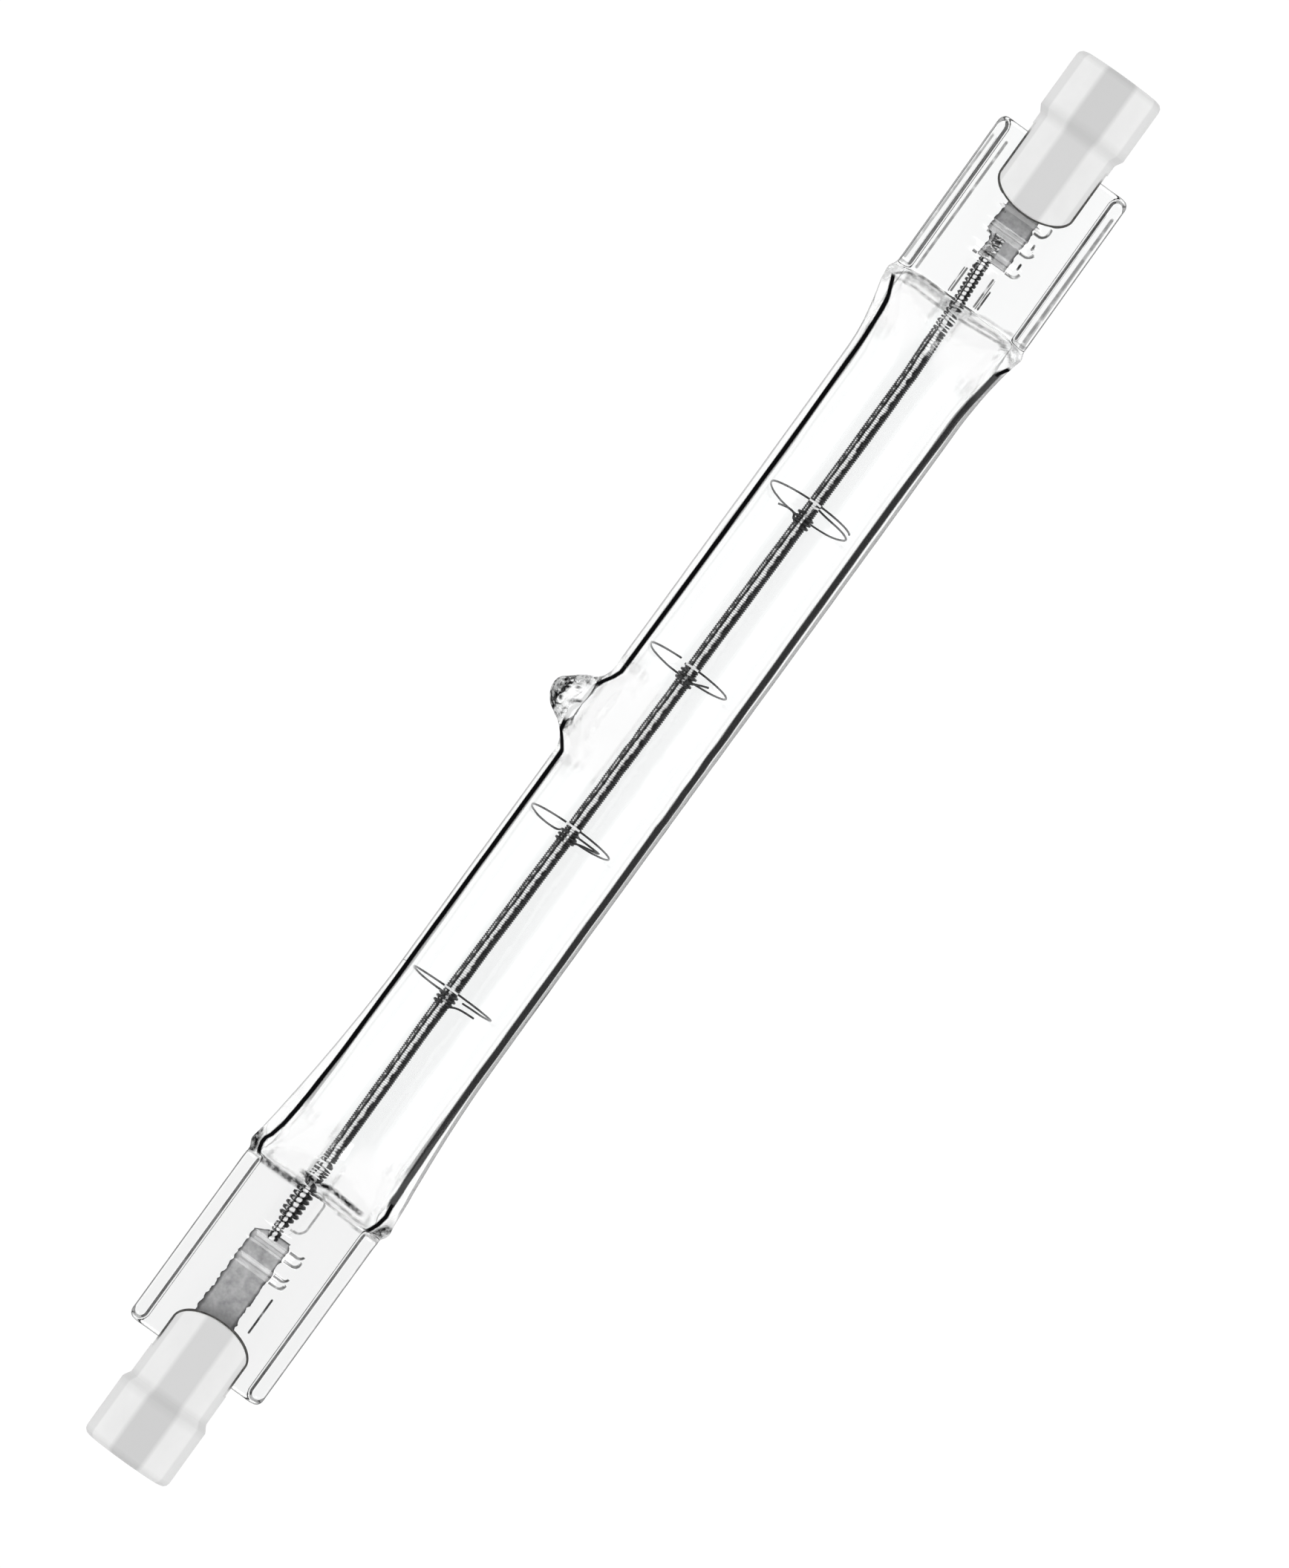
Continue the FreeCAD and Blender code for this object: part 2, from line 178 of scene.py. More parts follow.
def add_mesh(name, verts, faces, materials, smooth=True):
    """A mesh object from points in millimetres."""
    mesh = bpy.data.meshes.new(name)
    mesh.from_pydata((np.asarray(verts, float) * MM).tolist(), [], faces)
    mesh.polygons.foreach_set("use_smooth", [smooth] * len(mesh.polygons))
    for material in materials:
        mesh.materials.append(material)
    mesh.update()
    return add_object(name, mesh)


def grid_faces(rows, columns, start=0, flip=False):
    """Quads between rings of points that close round on themselves."""
    faces = []
    for i in range(rows - 1):
        for j in range(columns):
            k = (j + 1) % columns
            a = start + i * columns
            b = a + columns
            quad = (a + j, a + k, b + k, b + j)
            faces.append(quad[::-1] if flip else quad)
    return faces


def end_faces(first, columns, flip):
    """Closes a flat ring with strips between its upper and lower points."""
    faces = []
    for j in range(columns // 2):
        quad = [first + j, first + j + 1, first + (columns - j - 1) % columns,
                first + (columns - j) % columns]
        points = tuple(dict.fromkeys(quad))
        if len(points) > 2:
            faces.append(points[::-1] if flip else points)
    return faces


def closed_ring(y, z):
    """Mirrors a quarter, from its side to its top, into a whole ring."""
    back_y, back_z = y[:0:-1], z[:0:-1]
    y, z = y[:-1], z[:-1]
    return np.concatenate([y, -back_y, -y, back_y]), np.concatenate([z, back_z, -z, -back_z])


def closed_faces(rows, columns, start=0, flip=False):
    """Quads between rings of points, and over the first and the last ring."""
    last = start + (rows - 1) * columns
    return (grid_faces(rows, columns, start, flip) + end_faces(start, columns, not flip)
            + end_faces(last, columns, flip))


# Quartz envelope

QUARTER = 40
RING = 4 * QUARTER
BORE_RING = 88


def seal_height(end, distance, out, y, width):
    """Upper face of the pressed seal: a web between two rails, rounded at its edges."""
    to_end = end.seal_end - out
    merge = fade(distance, -0.3, 0.15)
    middle = width - RAIL_WIDTH / 2
    cap = RAIL_END_GAP + RAIL_WIDTH / 2 - to_end
    side = np.maximum(middle - y, 0.0) + np.maximum(y - middle, 0.0) * rise(cap, -0.05, 0.1)
    inside = RAIL_WIDTH / 2 - np.hypot(side, max(cap, 0.0))
    rail = rise(inside, -0.14, 0.2)
    height = WEB_HALF + RAIL_RISE * rail * merge
    corner = np.maximum(y - (width - RAIL_ROUND), 0.0)
    height = height - RAIL_ROUND + np.sqrt(np.maximum(RAIL_ROUND ** 2 - corner ** 2, 0.0))
    if to_end < SEAL_END_ROUND:
        height = height - SEAL_END_ROUND
        height += math.sqrt(max(SEAL_END_ROUND ** 2 - (SEAL_END_ROUND - to_end) ** 2, 0.0))
    return height * fade(distance, 0.7, 1.8)


def outer_ring(x):
    """One section of the quartz's outside, as a closed ring of points."""
    end, distance = nearest_end(x)
    out = abs(x)
    share = rise(distance, -0.2, 1.6)
    if distance > 0:
        half_z = WEB_HALF + (TUBE_RADIUS - WEB_HALF) * quarter_wave(distance, SHOULDER)
        half_y = shoulder_width(end, distance)
        if distance < SHOULDER_PEAK:
            half_y = SEAL_NECK + (half_y - SEAL_NECK) * quarter_wave(distance, SHOULDER_PEAK)
    else:
        half_z = WEB_HALF
        half_y = SEAL_NECK
    power = shoulder_power(distance)
    width = half_y
    if distance < SHOULDER_PEAK:
        width = smooth_max(half_y, SEAL_HALF, 0.12) if distance > -0.4 else SEAL_HALF
        to_end = end.seal_end - out
        if to_end < SEAL_CORNER:
            width = SEAL_HALF - SEAL_CORNER
            width += math.sqrt(max(SEAL_CORNER ** 2 - (SEAL_CORNER - to_end) ** 2, 0.0))
    y = width * np.sin(np.linspace(0, math.pi / 2, 260))
    z = half_z * np.maximum(1 - (y / half_y).clip(0, 1) ** power, 0.0) ** (1 / power)
    if distance <= 0:
        z = z * 0
    if distance < 1.8:
        z = smooth_max(z, seal_height(end, distance, out, y, width), 0.16)
    y = np.append(y, width)
    z = np.append(z, 0.0)
    step = np.hypot(np.diff(y), np.diff(z))
    weight = 1 + 1.6 * (1 - share) * rise(y[1:], width - 1.9, width - 1.2)
    run = np.concatenate([[0], np.cumsum(step * weight)])
    even = np.linspace(0, run[-1], QUARTER + 1)
    ys, zs = closed_ring(np.interp(even, run, y)[::-1], np.interp(even, run, z)[::-1])
    bump = np.zeros(RING)
    if distance < 1.5:
        flat = fade(np.abs(ys), 3.9, 4.3)
        for first in end.ribs:
            across = rise(out, first - 0.02, first + 0.2)
            across *= fade(out, first + RIB_WIDTH - 0.2, first + RIB_WIDTH + 0.02)
            length = fade(np.abs(ys), RIB_HALF_LENGTH - 0.25, RIB_HALF_LENGTH)
            bump += RIB_HEIGHT * across * length
        ridge = fade(np.abs(ys - end.leg_side), RIDGE_HALF - 0.18, RIDGE_HALF + 0.02)
        ridge_end = end.foil_in - RIDGE_END_GAP
        ridge *= fade(out, ridge_end - 0.25, ridge_end)
        bump += RIDGE_HEIGHT * ridge * fade(distance, 0.3, 1.5)
        bump *= flat
    zs = zs + np.sign(zs) * bump
    return ys, zs


# Creases where the press ended, drawn as lines of painted shade: half width, darkness, and the line as
# (y, x) from top to bottom
CREASES = [
    (0.34, 0.92, [(4.5, -36.37), (2.5, -36.4), (1.0, -36.3)]),
    (0.13, 0.55, [(0.2, -36.17), (-1.8, -36.32), (-4.1, -36.53)]),
    (0.13, 0.5, [(-0.3, -35.81), (-1.8, -35.86), (-3.8, -36.07)]),
    (0.26, 1.0, [(1.6, -35.42), (0.3, -35.5), (-0.5, -35.25), (-1.8, -35.35), (-3.3, -35.45)]),
    (0.16, 0.8, [(4.87, 38.63), (4.1, 39.2), (3.1, 39.55), (2.0, 39.55), (1.3, 39.45)]),
    (0.36, 0.4, [(3.9, 38.95), (3.1, 39.2), (2.0, 39.2), (1.3, 39.1)]),
    (0.14, 0.6, [(4.87, 38.4), (3.3, 38.63), (0.25, 38.52), (-1.8, 38.73), (-3.84, 38.94),
                 (-4.9, 38.6), (-5.4, 38.1)]),
    (0.14, 0.6, [(-1.0, 39.0), (-1.28, 39.03), (-3.3, 39.25), (-4.4, 38.95), (-5.1, 38.6),
                 (-5.8, 37.9)]),
    (0.14, 0.35, [(-1.0, 39.4), (-1.8, 39.75), (-4.35, 39.9)]),
    (0.6, 0.55, [(1.0, 39.0), (-0.6, 39.05)]),
]


def settle(x, y):
    """Where a point of the straight lamp's quartz lies sideways on the photographed one."""
    end, distance = nearest_end(x)
    pressed = fade(distance, -0.5, 2.0)
    if end.side < 0:
        y = y - 0.08 * pressed * rise(-y, 4.6, 5.4)
    else:
        y = y - 0.22 * pressed * rise(y, 4.5, 5.5)
    return y + run_at(QUARTZ_RUN, x) * (1 - rise(y, 4.7, 5.8) * (1 - pressed))


def dark_line(x, y):
    """How far to the side the dark line on this side of the tube lies."""
    return run_at(DARK_UPPER if y > 0 else DARK_LOWER, x)


def painted_line_weight(end, distance, x, y):
    """Where the dark line is drawn from its table as painted shade: at the shoulders and over the tip.
    """
    first = -0.1 if end.side < 0 else 0.9 if y > 0 else 1.5
    shoulder = rise(distance, first, first + 0.25) * fade(distance, 2.6, 3.4)
    over_tip = fade(abs(x - 2.1), 3.75, 4.05) if y > 2.0 else 0.0
    over_tip *= 1 - 0.75 * fade(abs(x - 2.0), 1.3, 1.7)
    return max(shoulder, over_tip)


def wobble(x, y, z, amount):
    """A few hundredths of a millimetre of unevenness, as pressed or fire polished glass has."""
    return amount * (noise_at(x, y, z, 0.55, 3.1) + 0.5 * noise_at(x, y, z, 1.4, 7.7))


def tip_profile(corners):
    """A rounded line through (radius, height) points, from the knob's top to below the tube."""
    corners = np.array(corners)
    run = np.concatenate([[0], np.cumsum(np.hypot(*np.diff(corners, axis=0).T))])
    even = np.linspace(0, run[-1], 90)
    line = np.column_stack([np.interp(even, run, corners[:, 0]), np.interp(even, run, corners[:, 1])])
    for i in range(14):
        line[1:-1] = (line[:-2] + 2 * line[1:-1] + line[2:]) / 4
        line[0, 1] = line[1, 1]
    return line[:, 0], line[:, 1]


TIP_LEFT = tip_profile([(0.0, 7.40), (0.3, 7.38), (0.85, 7.2), (1.34, 6.81), (1.68, 6.40), (1.88, 5.95),
                        (2.1, 5.6), (2.4, 5.25), (2.75, 4.9), (3.2, 4.45), (4.4, 3.2)])
TIP_RIGHT = tip_profile([(0.0, 7.40), (0.36, 7.36), (0.62, 7.14), (0.9, 6.75), (1.40, 6.22),
                         (1.74, 5.74), (1.93, 5.3), (2.15, 4.95), (2.5, 4.6), (2.95, 4.2),
                         (4.4, 3.2)])


def raise_tip(x, y, z):
    """Moves a point of the tube's outside onto the exhaust tip where the tip stands."""
    side, up = x - TIP_X, z
    radius = max(math.hypot(side, up), 1e-9)
    if y < 0 or radius > TIP_REACH:
        return x, y, z, 0.0
    right = 0.5 + 0.5 * side / radius
    along = radius / TIP_REACH
    place = np.linspace(0, 1, len(TIP_LEFT[0]))
    left, other = [[np.interp(along, place, curve) for curve in flank]
                   for flank in (TIP_LEFT, TIP_RIGHT)]
    new_radius, height = [a + (b - a) * right for a, b in zip(left, other)]
    scale = new_radius / radius
    side, up = side * scale, up * scale
    tube = math.sqrt(max(TUBE_RADIUS ** 2 - up * up, 0.0))
    top = smooth_max(tube, height, 0.9)
    knob = rise(height - tube, 0.0, 1.2)
    lump = 0.05 * noise_at(side, top, up, 0.95, 21.0) + 0.04 * noise_at(side, top, up, 2.6, 4.0)
    side, up = side * (1 + lump * knob), up * (1 + lump * knob)
    top += knob * 0.05 * noise_at(side, 0.0, up, 1.1, 9.0)
    return TIP_X + side, min(top, TIP_TOP), up, knob


def spaced(stops, steps):
    """Places from the first stop to the last, with its own step between each two stops."""
    places = []
    for low, high, step in zip(stops, stops[1:], steps):
        count = max(1, round((high - low) / step))
        places.extend(np.linspace(low, high, count, endpoint=False))
    return places + [stops[-1]]


def soft_line(value, middle, half):
    """1 on a line, falling to 0 at half its width to either side."""
    return fade(abs(value - middle), 0.35 * half, half)


def stroke(x, y, start, finish, half):
    """1 on a short straight stroke between two points, falling off to 0 around it."""
    along = Vector(finish) - Vector(start)
    share = max(0.0, min(1.0, (Vector((x, y)) - Vector(start)).dot(along) / along.length_squared))
    return soft_line((Vector((x, y)) - Vector(start) - share * along).length, 0.0, half)


def tip_shade(x, y, z):
    """Painted shade: dark specks on the sealed-off tip and the waist lines below it."""
    if y < 5.0 or abs(x - TIP_X) > 3:
        return 0.0
    painted_specks = 1.2 + 2.6 * noise_at(x * 1.3, y * 1.8, z, 2.4, 33.0)
    top = rise(y, 6.15, 6.4) * painted_specks
    patch = 0.75 * stroke(x, y, (3.3, 5.5), (3.75, 5.55), 0.35) * (0.6 + noise_at(x, y, z, 3.0, 8.0))
    waist = max(stroke(x, y, (0.26, 5.84), (1.13, 5.69), 0.1),
                stroke(x, y, (2.5, 5.74), (3.53, 5.99), 0.1))
    dash = stroke(x, y, (1.64, 5.66), (2.05, 5.25), 0.17)
    return max(0.0, min(1.0, max(top, patch, 0.9 * waist, dash)))


def shade_at(x, y):
    """How much painted shade the glass gets where a seal's press ended, from 0 to 1: along its creases
    and in wedges by its corners.
    """
    if not (-37.2 < x < -34.0 or 37.0 < x < 40.5):
        return 0.0
    level = 0.0
    shake = 0.05 * noise_at(0.0, y, 0.0, 1.6, 80.0)
    for half, darkness, line in CREASES:
        if line[-1][0] - 0.3 < y < line[0][0] + 0.3 and abs(line[0][1] - x) < 2.5:
            place = run_at(line[::-1], y) + shake
            ends = rise(line[0][0] + 0.3 - y, 0.0, 0.5) * rise(y - line[-1][0] + 0.3, 0.0, 0.5)
            level = max(level, darkness * ends * soft_line(x, place, half))
    # painted shade in wedges at the shoulders' corners
    wedge = max(stroke(x, y, (-36.1, 5.45), (-34.9, 5.75), 0.5),
                stroke(x, y, (-36.1, -4.95), (-35.3, -5.45), 0.5),
                0.35 * stroke(x, y, (38.0, 5.2), (39.0, 5.1), 0.4),
                0.35 * stroke(x, y, (38.4, -5.5), (39.6, -4.7), 0.45))
    return max(level, wedge)


def press_at(distance, y):
    """How strongly steep glass darkens: fully in the seals, mostly at the shoulders' corners."""
    corner = rise(abs(y), 4.9, 5.2)
    inside = fade(distance, -0.2, 0.1)
    return max(inside, 0.6 * corner * fade(distance, 1.0, 2.2))


def calm_at(distance, x, y):
    """Where the creased tube, and the tube below the tip, are clearer than their slopes."""
    here = 0.95 * rise(distance, 0.0, 0.5) * fade(distance, 3.5, 5.5) * fade(abs(y), 3.9, 4.3)
    below = 0.93 * fade(abs(x - TIP_X), 3.4, 4.6) * fade(y, 4.5, 4.9)
    return max(here, below if y > 0.3 else 0.0) * rise(abs(y - 0.3), 0.75, 1.1)


VALUE_NAMES = "press shade calm tube under ink inked tip".split()


def quartz_outside():
    """The outer face: how many rings it has, its points and the values they carry."""
    a, b = -END_A.seal_start, END_B.seal_start
    low, high = -END_A.seal_end, END_B.seal_end
    rows = spaced([low, low + 0.3, low + 1.4, -47.0, a, a + 2.2, a + 5.0, a + 17.5,
                   TIP_X - TIP_REACH, TIP_X + TIP_REACH, b - 7.8, b - 5.0, b - 2.2, b, 47.2,
                   high - 1.4, high - 0.3, high],
                  [0.05, 0.09, 0.22, 0.125, 0.11, 0.22, 0.55, 0.8, 0.13, 0.8, 0.5, 0.22, 0.11,
                   0.125, 0.22, 0.09, 0.05])
    verts, values = [], []
    for x in rows:
        end, distance = nearest_end(x)
        pressed = fade(distance, 1.2, 4.4)
        for y, z in zip(*outer_ring(x)):
            px, py, pz, knob = raise_tip(x, y, z) if abs(x - TIP_X) < TIP_REACH else (x, y, z, 0)
            shift = wobble(px, py, pz, 0.012 + 0.02 * pressed * rise(distance, -1.5, 0.5))
            rim = 1 - rise(abs(py), 5.0, 5.4) * pressed
            scale = 1 + shift * rim / max(math.hypot(py, pz), 1.0)
            sy = settle(px, py * scale if pressed < 0.5 else py)
            verts.append((px, sy, pz * scale))
            # painted shade: the knob's steep upper glass darkens as the seals do
            knob_steep_shade = 0.6 * rise(py, 5.3, 5.7) if knob else 0.0
            near_tip = fade(abs(px - TIP_X), 3.3, 3.7) if py > 1.0 else 0.0
            values.append((
                max(press_at(distance, py), knob_steep_shade),
                max(shade_at(px, sy), tip_shade(px, py, pz)),
                calm_at(distance, px, py),
                rise(distance, 1.8, 2.6) * (1 - near_tip),
                rise(-py, 2.5, 3.5),
                abs(sy) - dark_line(px, sy),
                painted_line_weight(end, distance, px, sy),
                fade(abs(px - TIP_X), 3.8, 4.4) if py > 2.0 else 0.0))
    return len(rows), verts, dict(zip(VALUE_NAMES, np.array(values).T))


def bore_ring(x):
    """One section of the hollow, as a closed ring of points."""
    end, distance = nearest_end(x)
    half_z = SLIT_HALF + (BORE_RADIUS - SLIT_HALF) * quarter_wave(distance - SLIT_GAP, SHOULDER)
    wall = TUBE_WALL + (SLIT_WALL - TUBE_WALL) * (1 - quarter_wave(distance, SHOULDER))
    half_y = shoulder_width(end, distance) - wall
    seen = (run_at(BORE_LINE, x) + run_at(BORE_LINE, x + 0.3)) / 2
    half_y = min(half_y, seen / BORE_MAGNIFIED) if distance > 1.0 else min(half_y, SLIT_HALF_WIDTH)
    power = shoulder_power(distance)
    angle = np.linspace(0, math.pi / 2, 160)
    y = half_y * np.cos(angle) ** (2 / power)
    z = half_z * np.sin(angle) ** (2 / power)
    run = np.concatenate([[0], np.cumsum(np.hypot(np.diff(y), np.diff(z)))])
    even = np.linspace(0, run[-1], BORE_RING // 4 + 1)
    return closed_ring(np.interp(even, run, y), np.interp(even, run, z))


def raise_hollow(x, y, z):
    """How high the bore lies, which rises a little into the exhaust tip."""
    side = x - TIP_X
    radius = math.hypot(side, z)
    if y < 0 or radius > HOLLOW_REACH:
        return y
    height = BORE_RADIUS + 1.02 - 1.1 * max(radius - 2.1, 0.0)
    height += 0.05 * noise_at(side, 0.0, z, 0.9, 30.0)
    return smooth_max(y, height, 0.35)


def quartz_hollow():
    """The bore: how many rings it has, its points and how calm each is."""
    a, b = -END_A.seal_start + SLIT_GAP, END_B.seal_start - SLIT_GAP
    rows = spaced([a, a + 2.0, a + 5.0, a + 17.0, TIP_X - HOLLOW_REACH, TIP_X + HOLLOW_REACH,
                   b - 8.0, b - 5.0, b - 2.0, b], [0.12, 0.3, 0.8, 1.0, 0.2, 1.0, 0.6, 0.3, 0.12])
    verts, calm = [], []
    for x in rows:
        distance = nearest_end(x)[1]
        fold = 0.6 * fade(distance, 1.0, 3.6)
        push = 0.16 * fold * (0.0 if distance <= 0.3 else 0.3 if distance < 0.6 else 1.0)
        for y, z in zip(*bore_ring(x)):
            y = raise_hollow(x, y, z)
            scale = 1 + wobble(x, y, z, 0.01 + 0.05 * fold) / max(math.hypot(y, z), 0.4)
            pushed = x + push * noise_at(x, y * 1.3, z, 0.8, 12.0)
            verts.append((pushed, settle(pushed, y * scale), z * scale))
            calm.append(calm_at(distance, x, y))
    return len(rows), verts, calm


# Materials

def sum_of(operation):
    return lambda *values: math_node(operation, *values)


class Level:
    """One output of a shader node, to work with as if it were a number."""

    def __init__(self, socket):
        self.socket = socket
        self.tree = socket.id_data

    def __rsub__(self, other):
        return math_node("SUBTRACT", other, self)

    __add__ = sum_of("ADD")
    __sub__ = sum_of("SUBTRACT")
    __mul__ = sum_of("MULTIPLY")
    __abs__ = sum_of("ABSOLUTE")
    __lt__ = sum_of("LESS_THAN")
    __gt__ = sum_of("GREATER_THAN")


def feed(socket, value):
    """Links a level to an input, or sets the input to a plain number or colour."""
    if isinstance(value, Level):
        value.tree.links.new(value.socket, socket)
    else:
        socket.default_value = (*value, 1.0) if isinstance(value, tuple) else value


def node(tree, kind, inputs=None, **settings):
    """Adds a shader node, with its inputs given by name or number."""
    made = tree.nodes.new("ShaderNode" + kind)
    for key, value in settings.items():
        setattr(made, key, value)
    for name, value in (inputs or {}).items():
        feed(made.inputs[name], value)
    return made


def level(tree, kind, inputs=None, output=0, **settings):
    return Level(node(tree, kind, inputs, **settings).outputs[output])


def tree_of(values):
    return next(value.tree for value in values if isinstance(value, Level))


def math_node(operation, *values):
    return level(tree_of(values), "Math", dict(enumerate(values)), operation=operation)


def largest(*values):
    result = values[0]
    for value in values[1:]:
        result = math_node("MAXIMUM", result, value)
    return result


def ramp(source, stops):
    """A ColorRamp from (place, grey or colour) stops."""
    made = node(source.tree, "ValToRGB", {"Fac": source})
    bar = made.color_ramp
    bar.elements[0].position = stops[0][0]
    bar.elements[1].position = stops[-1][0]
    for place, _ in stops[1:-1]:
        bar.elements.new(place)
    for element, (place, shade) in zip(bar.elements, stops):
        element.position = place
        element.color = (*shade, 1.0) if isinstance(shade, tuple) else (shade, shade, shade, 1.0)
    return Level(made.outputs["Color"])


def noise_level(coords, scale, detail=4.0, roughness=0.55):
    return level(coords.tree, "TexNoise", {"Vector": coords, "Scale": scale, "Detail": detail,
                                           "Roughness": roughness}, output="Fac")


def mix_colour(factor, a, b, blend="MIX"):
    return level(tree_of((factor, a, b)), "Mix", {0: factor, 6: a, 7: b}, output=2,
                 data_type="RGBA", blend_type=blend)


def mix_shader(factor, a, b):
    return level(factor.tree, "MixShader", {0: factor, 1: a, 2: b})


def value_of(tree, name):
    """A value that a piece carries at its points."""
    return level(tree, "Attribute", output="Fac", attribute_name=name)


def parts_of(vector):
    return [Level(socket) for socket in node(vector.tree, "SeparateXYZ", {0: vector}).outputs]


def clear_tree(owner):
    owner.use_nodes = True
    owner.node_tree.nodes.clear()
    return owner.node_tree


def new_material(name):
    """An empty material, with its node tree and its object coordinates."""
    material = bpy.data.materials.new(name)
    tree = clear_tree(material)
    return material, tree, level(tree, "TexCoord", output="Object")


def grained(material, colour, grain, roughness, strength, distance, **others):
    """Finishes a material that isn't clear: its grain shows in its gloss and as small bumps."""
    tree = material.node_tree
    gloss = ramp(grain, [(0.3, roughness[0]), (0.7, roughness[1])])
    bump = level(tree, "Bump", {"Strength": strength, "Distance": distance, "Height": grain})
    inputs = {name.replace("_", " "): value for name, value in others.items()}
    inputs.update({"Base Color": colour, "Roughness": gloss, "Normal": bump})
    node(tree, "OutputMaterial", {"Surface": level(tree, "BsdfPrincipled", inputs)})
    return material


def box_outline(x, y, boxes, corner=0.3, half=0.11):
    """1 along the edges of rounded boxes, given as (middle x, middle y, half x, half y)."""
    nearest = None
    for middle_x, middle_y, half_x, half_y in boxes:
        round_off = min(corner, half_x, half_y)
        side = abs(x - middle_x) - (half_x - round_off)
        across = abs(y - middle_y) - (half_y - round_off)
        far_x, far_y = largest(side, 0.0), largest(across, 0.0)
        far = math_node("SQRT", far_x * far_x + far_y * far_y)
        near = math_node("MINIMUM", largest(side, across), 0.0)
        gap = abs(far + near - round_off)
        nearest = gap if nearest is None else math_node("MINIMUM", nearest, gap)
    return ramp(nearest, [(0.0, 1.0), (0.4 * half, 1.0), (half, 0.0)])


def hooks(x, y, marks, foot):
    """Hook-shaped lines of painted shade, given as (left x, foot's reach): the lower left of a rounded
    box.
    """
    return largest(*[box_outline(x, y, [(left + 0.7, foot + 2.0, 0.7, 2.0)], corner=0.45)
                     * (x < left + reach) for left, reach in marks])


def press_outline_shade(coords):
    """Dark outlines of painted shade on the pressed glass: by the ribs beside each foil, round
    the filament's ridges and along the rails."""
    x, y = [part * 1000.0 for part in parts_of(coords)[:2]]
    hooks_a = hooks(x, y, [(-43.03, 0.4), (-42.47, 0.36), (-41.19, 0.45), (-40.55, 0.3)], -1.95)
    hooks_b = hooks(x, y, [(43.15, 0.45), (44.83, 0.45), (46.52, 0.9)], -2.2)
    marks = largest(hooks_a * (y < -0.92), hooks_b * (abs(y + 0.15) > 1.2) * (y < 1.4)) * 0.9
    ridge_a = box_outline(x, y, [(-37.6, 0.3, 1.6, 1.27)], corner=0.7) * (y < 0.0)
    dashes = box_outline(x, y, [(40.9, 0.97, 0.95, 0.02), (41.1, -0.97, 1.15, 0.02),
                                (40.7, -1.28, 0.72, 0.02), (-45.3, -1.84, 1.38, 0.02),
                                (44.0, -1.9, 0.22, 0.03), (45.65, -1.9, 0.2, 0.03)], half=0.075)
    rails = box_outline(x, y, [(-43.4, -5.4, 6.6, 0.02), (45.2, 4.93, 5.2, 0.02),
                               (45.2, 3.84, 5.3, 0.02), (45.2, -5.2, 5.2, 0.03)])
    broken = ramp(noise_level(coords, 1100.0, 2.0), [(0.36, 0.35), (0.5, 1.0)])
    return largest(marks, ridge_a * 0.5, dashes, rails * 0.55) * broken * 0.8


CLEAR = (0.985, 0.99, 0.99)


def bore_dark(tree, facing, ahead, behind):
    """Where the bore's face goes dark with painted shade: in thin bands along the wall, never at its
    folds.
    """
    wall = ramp(facing, [(0.285, 0.0), (0.30, 0.6), (0.36, 0.6), (0.375, 0.0)])
    faint = ramp(facing, [(0.60, 0.0), (0.66, 0.10), (0.72, 0.10), (0.76, 0.0)])
    return (wall * behind + faint * ahead) * value_of(tree, "wall")


def outer_dark(tree, coords, facing, ahead):
    """Where the outer face goes dark with painted shade. Edges, lines and steep glass follow the
    slope of the face; the painted line, the crease shade and the press outlines are drawn at
    the places where the photograph has them."""
    names = "press under tube line steepness tip ink inked shade".split()
    press, under, tube, line, steepness, tip, painted_line, painted_line_share, shade = [
        value_of(tree, name) for name in names]
    slope = 1.0 - abs(parts_of(level(tree, "TexCoord", output="Normal"))[2])
    steepest = math_node("MINIMUM", slope, facing)
    upper_edge = ramp(steepest, [(0.76, 0.0), (0.80, 0.35), (0.90, 0.45), (1.0, 0.5)])
    lower_edge = ramp(steepest, [(0.67, 0.0), (0.69, 0.5), (0.90, 0.6), (1.0, 0.7)])
    edge = largest(mix_colour(under * tube, upper_edge, lower_edge),
                   ramp(facing, [(0.89, 0.0), (0.96, 0.45)]))
    off_tip = 1.0 - largest(tip * 0.75, press * 0.85)
    off_line = abs(facing - line)
    narrow = ramp(off_line, [(0.12, 1.0), (0.17, 0.0)])
    off_line = off_line * steepness
    upper_line = ramp(off_line, [(0.13, 1.0), (0.2, 0.0)])
    lower_line = ramp(off_line, [(0.19, 0.93), (0.27, 0.0)])
    line = mix_colour(under, upper_line, lower_line) * narrow
    steep = ramp(steepest, [(0.2, 0.0), (0.3, 0.34), (0.45, 0.66), (0.8, 0.76)])
    mottled = ramp(noise_level(coords, 900.0, 5.0, 0.6), [(0.35, 0.75), (0.65, 1.0)])
    patchy = ramp(noise_level(coords, 2300.0, 4.0, 0.6), [(0.38, 0.5), (0.58, 1.0)])
    from_above = ramp(abs(facing - slope), [(0.12, 1.0), (0.22, 0.0)])
    # painted shade: the dark line along the tube, drawn where its table puts it and seen from above
    painted_line = ramp(abs(painted_line), [(0.12, 1.0), (0.21, 0.0)]) * from_above
    return largest(edge * ahead * off_tip, steep * press * mottled, line * ahead * tube,
                   painted_line * ahead * painted_line_share, shade * patchy * ahead, press_outline_shade(coords))


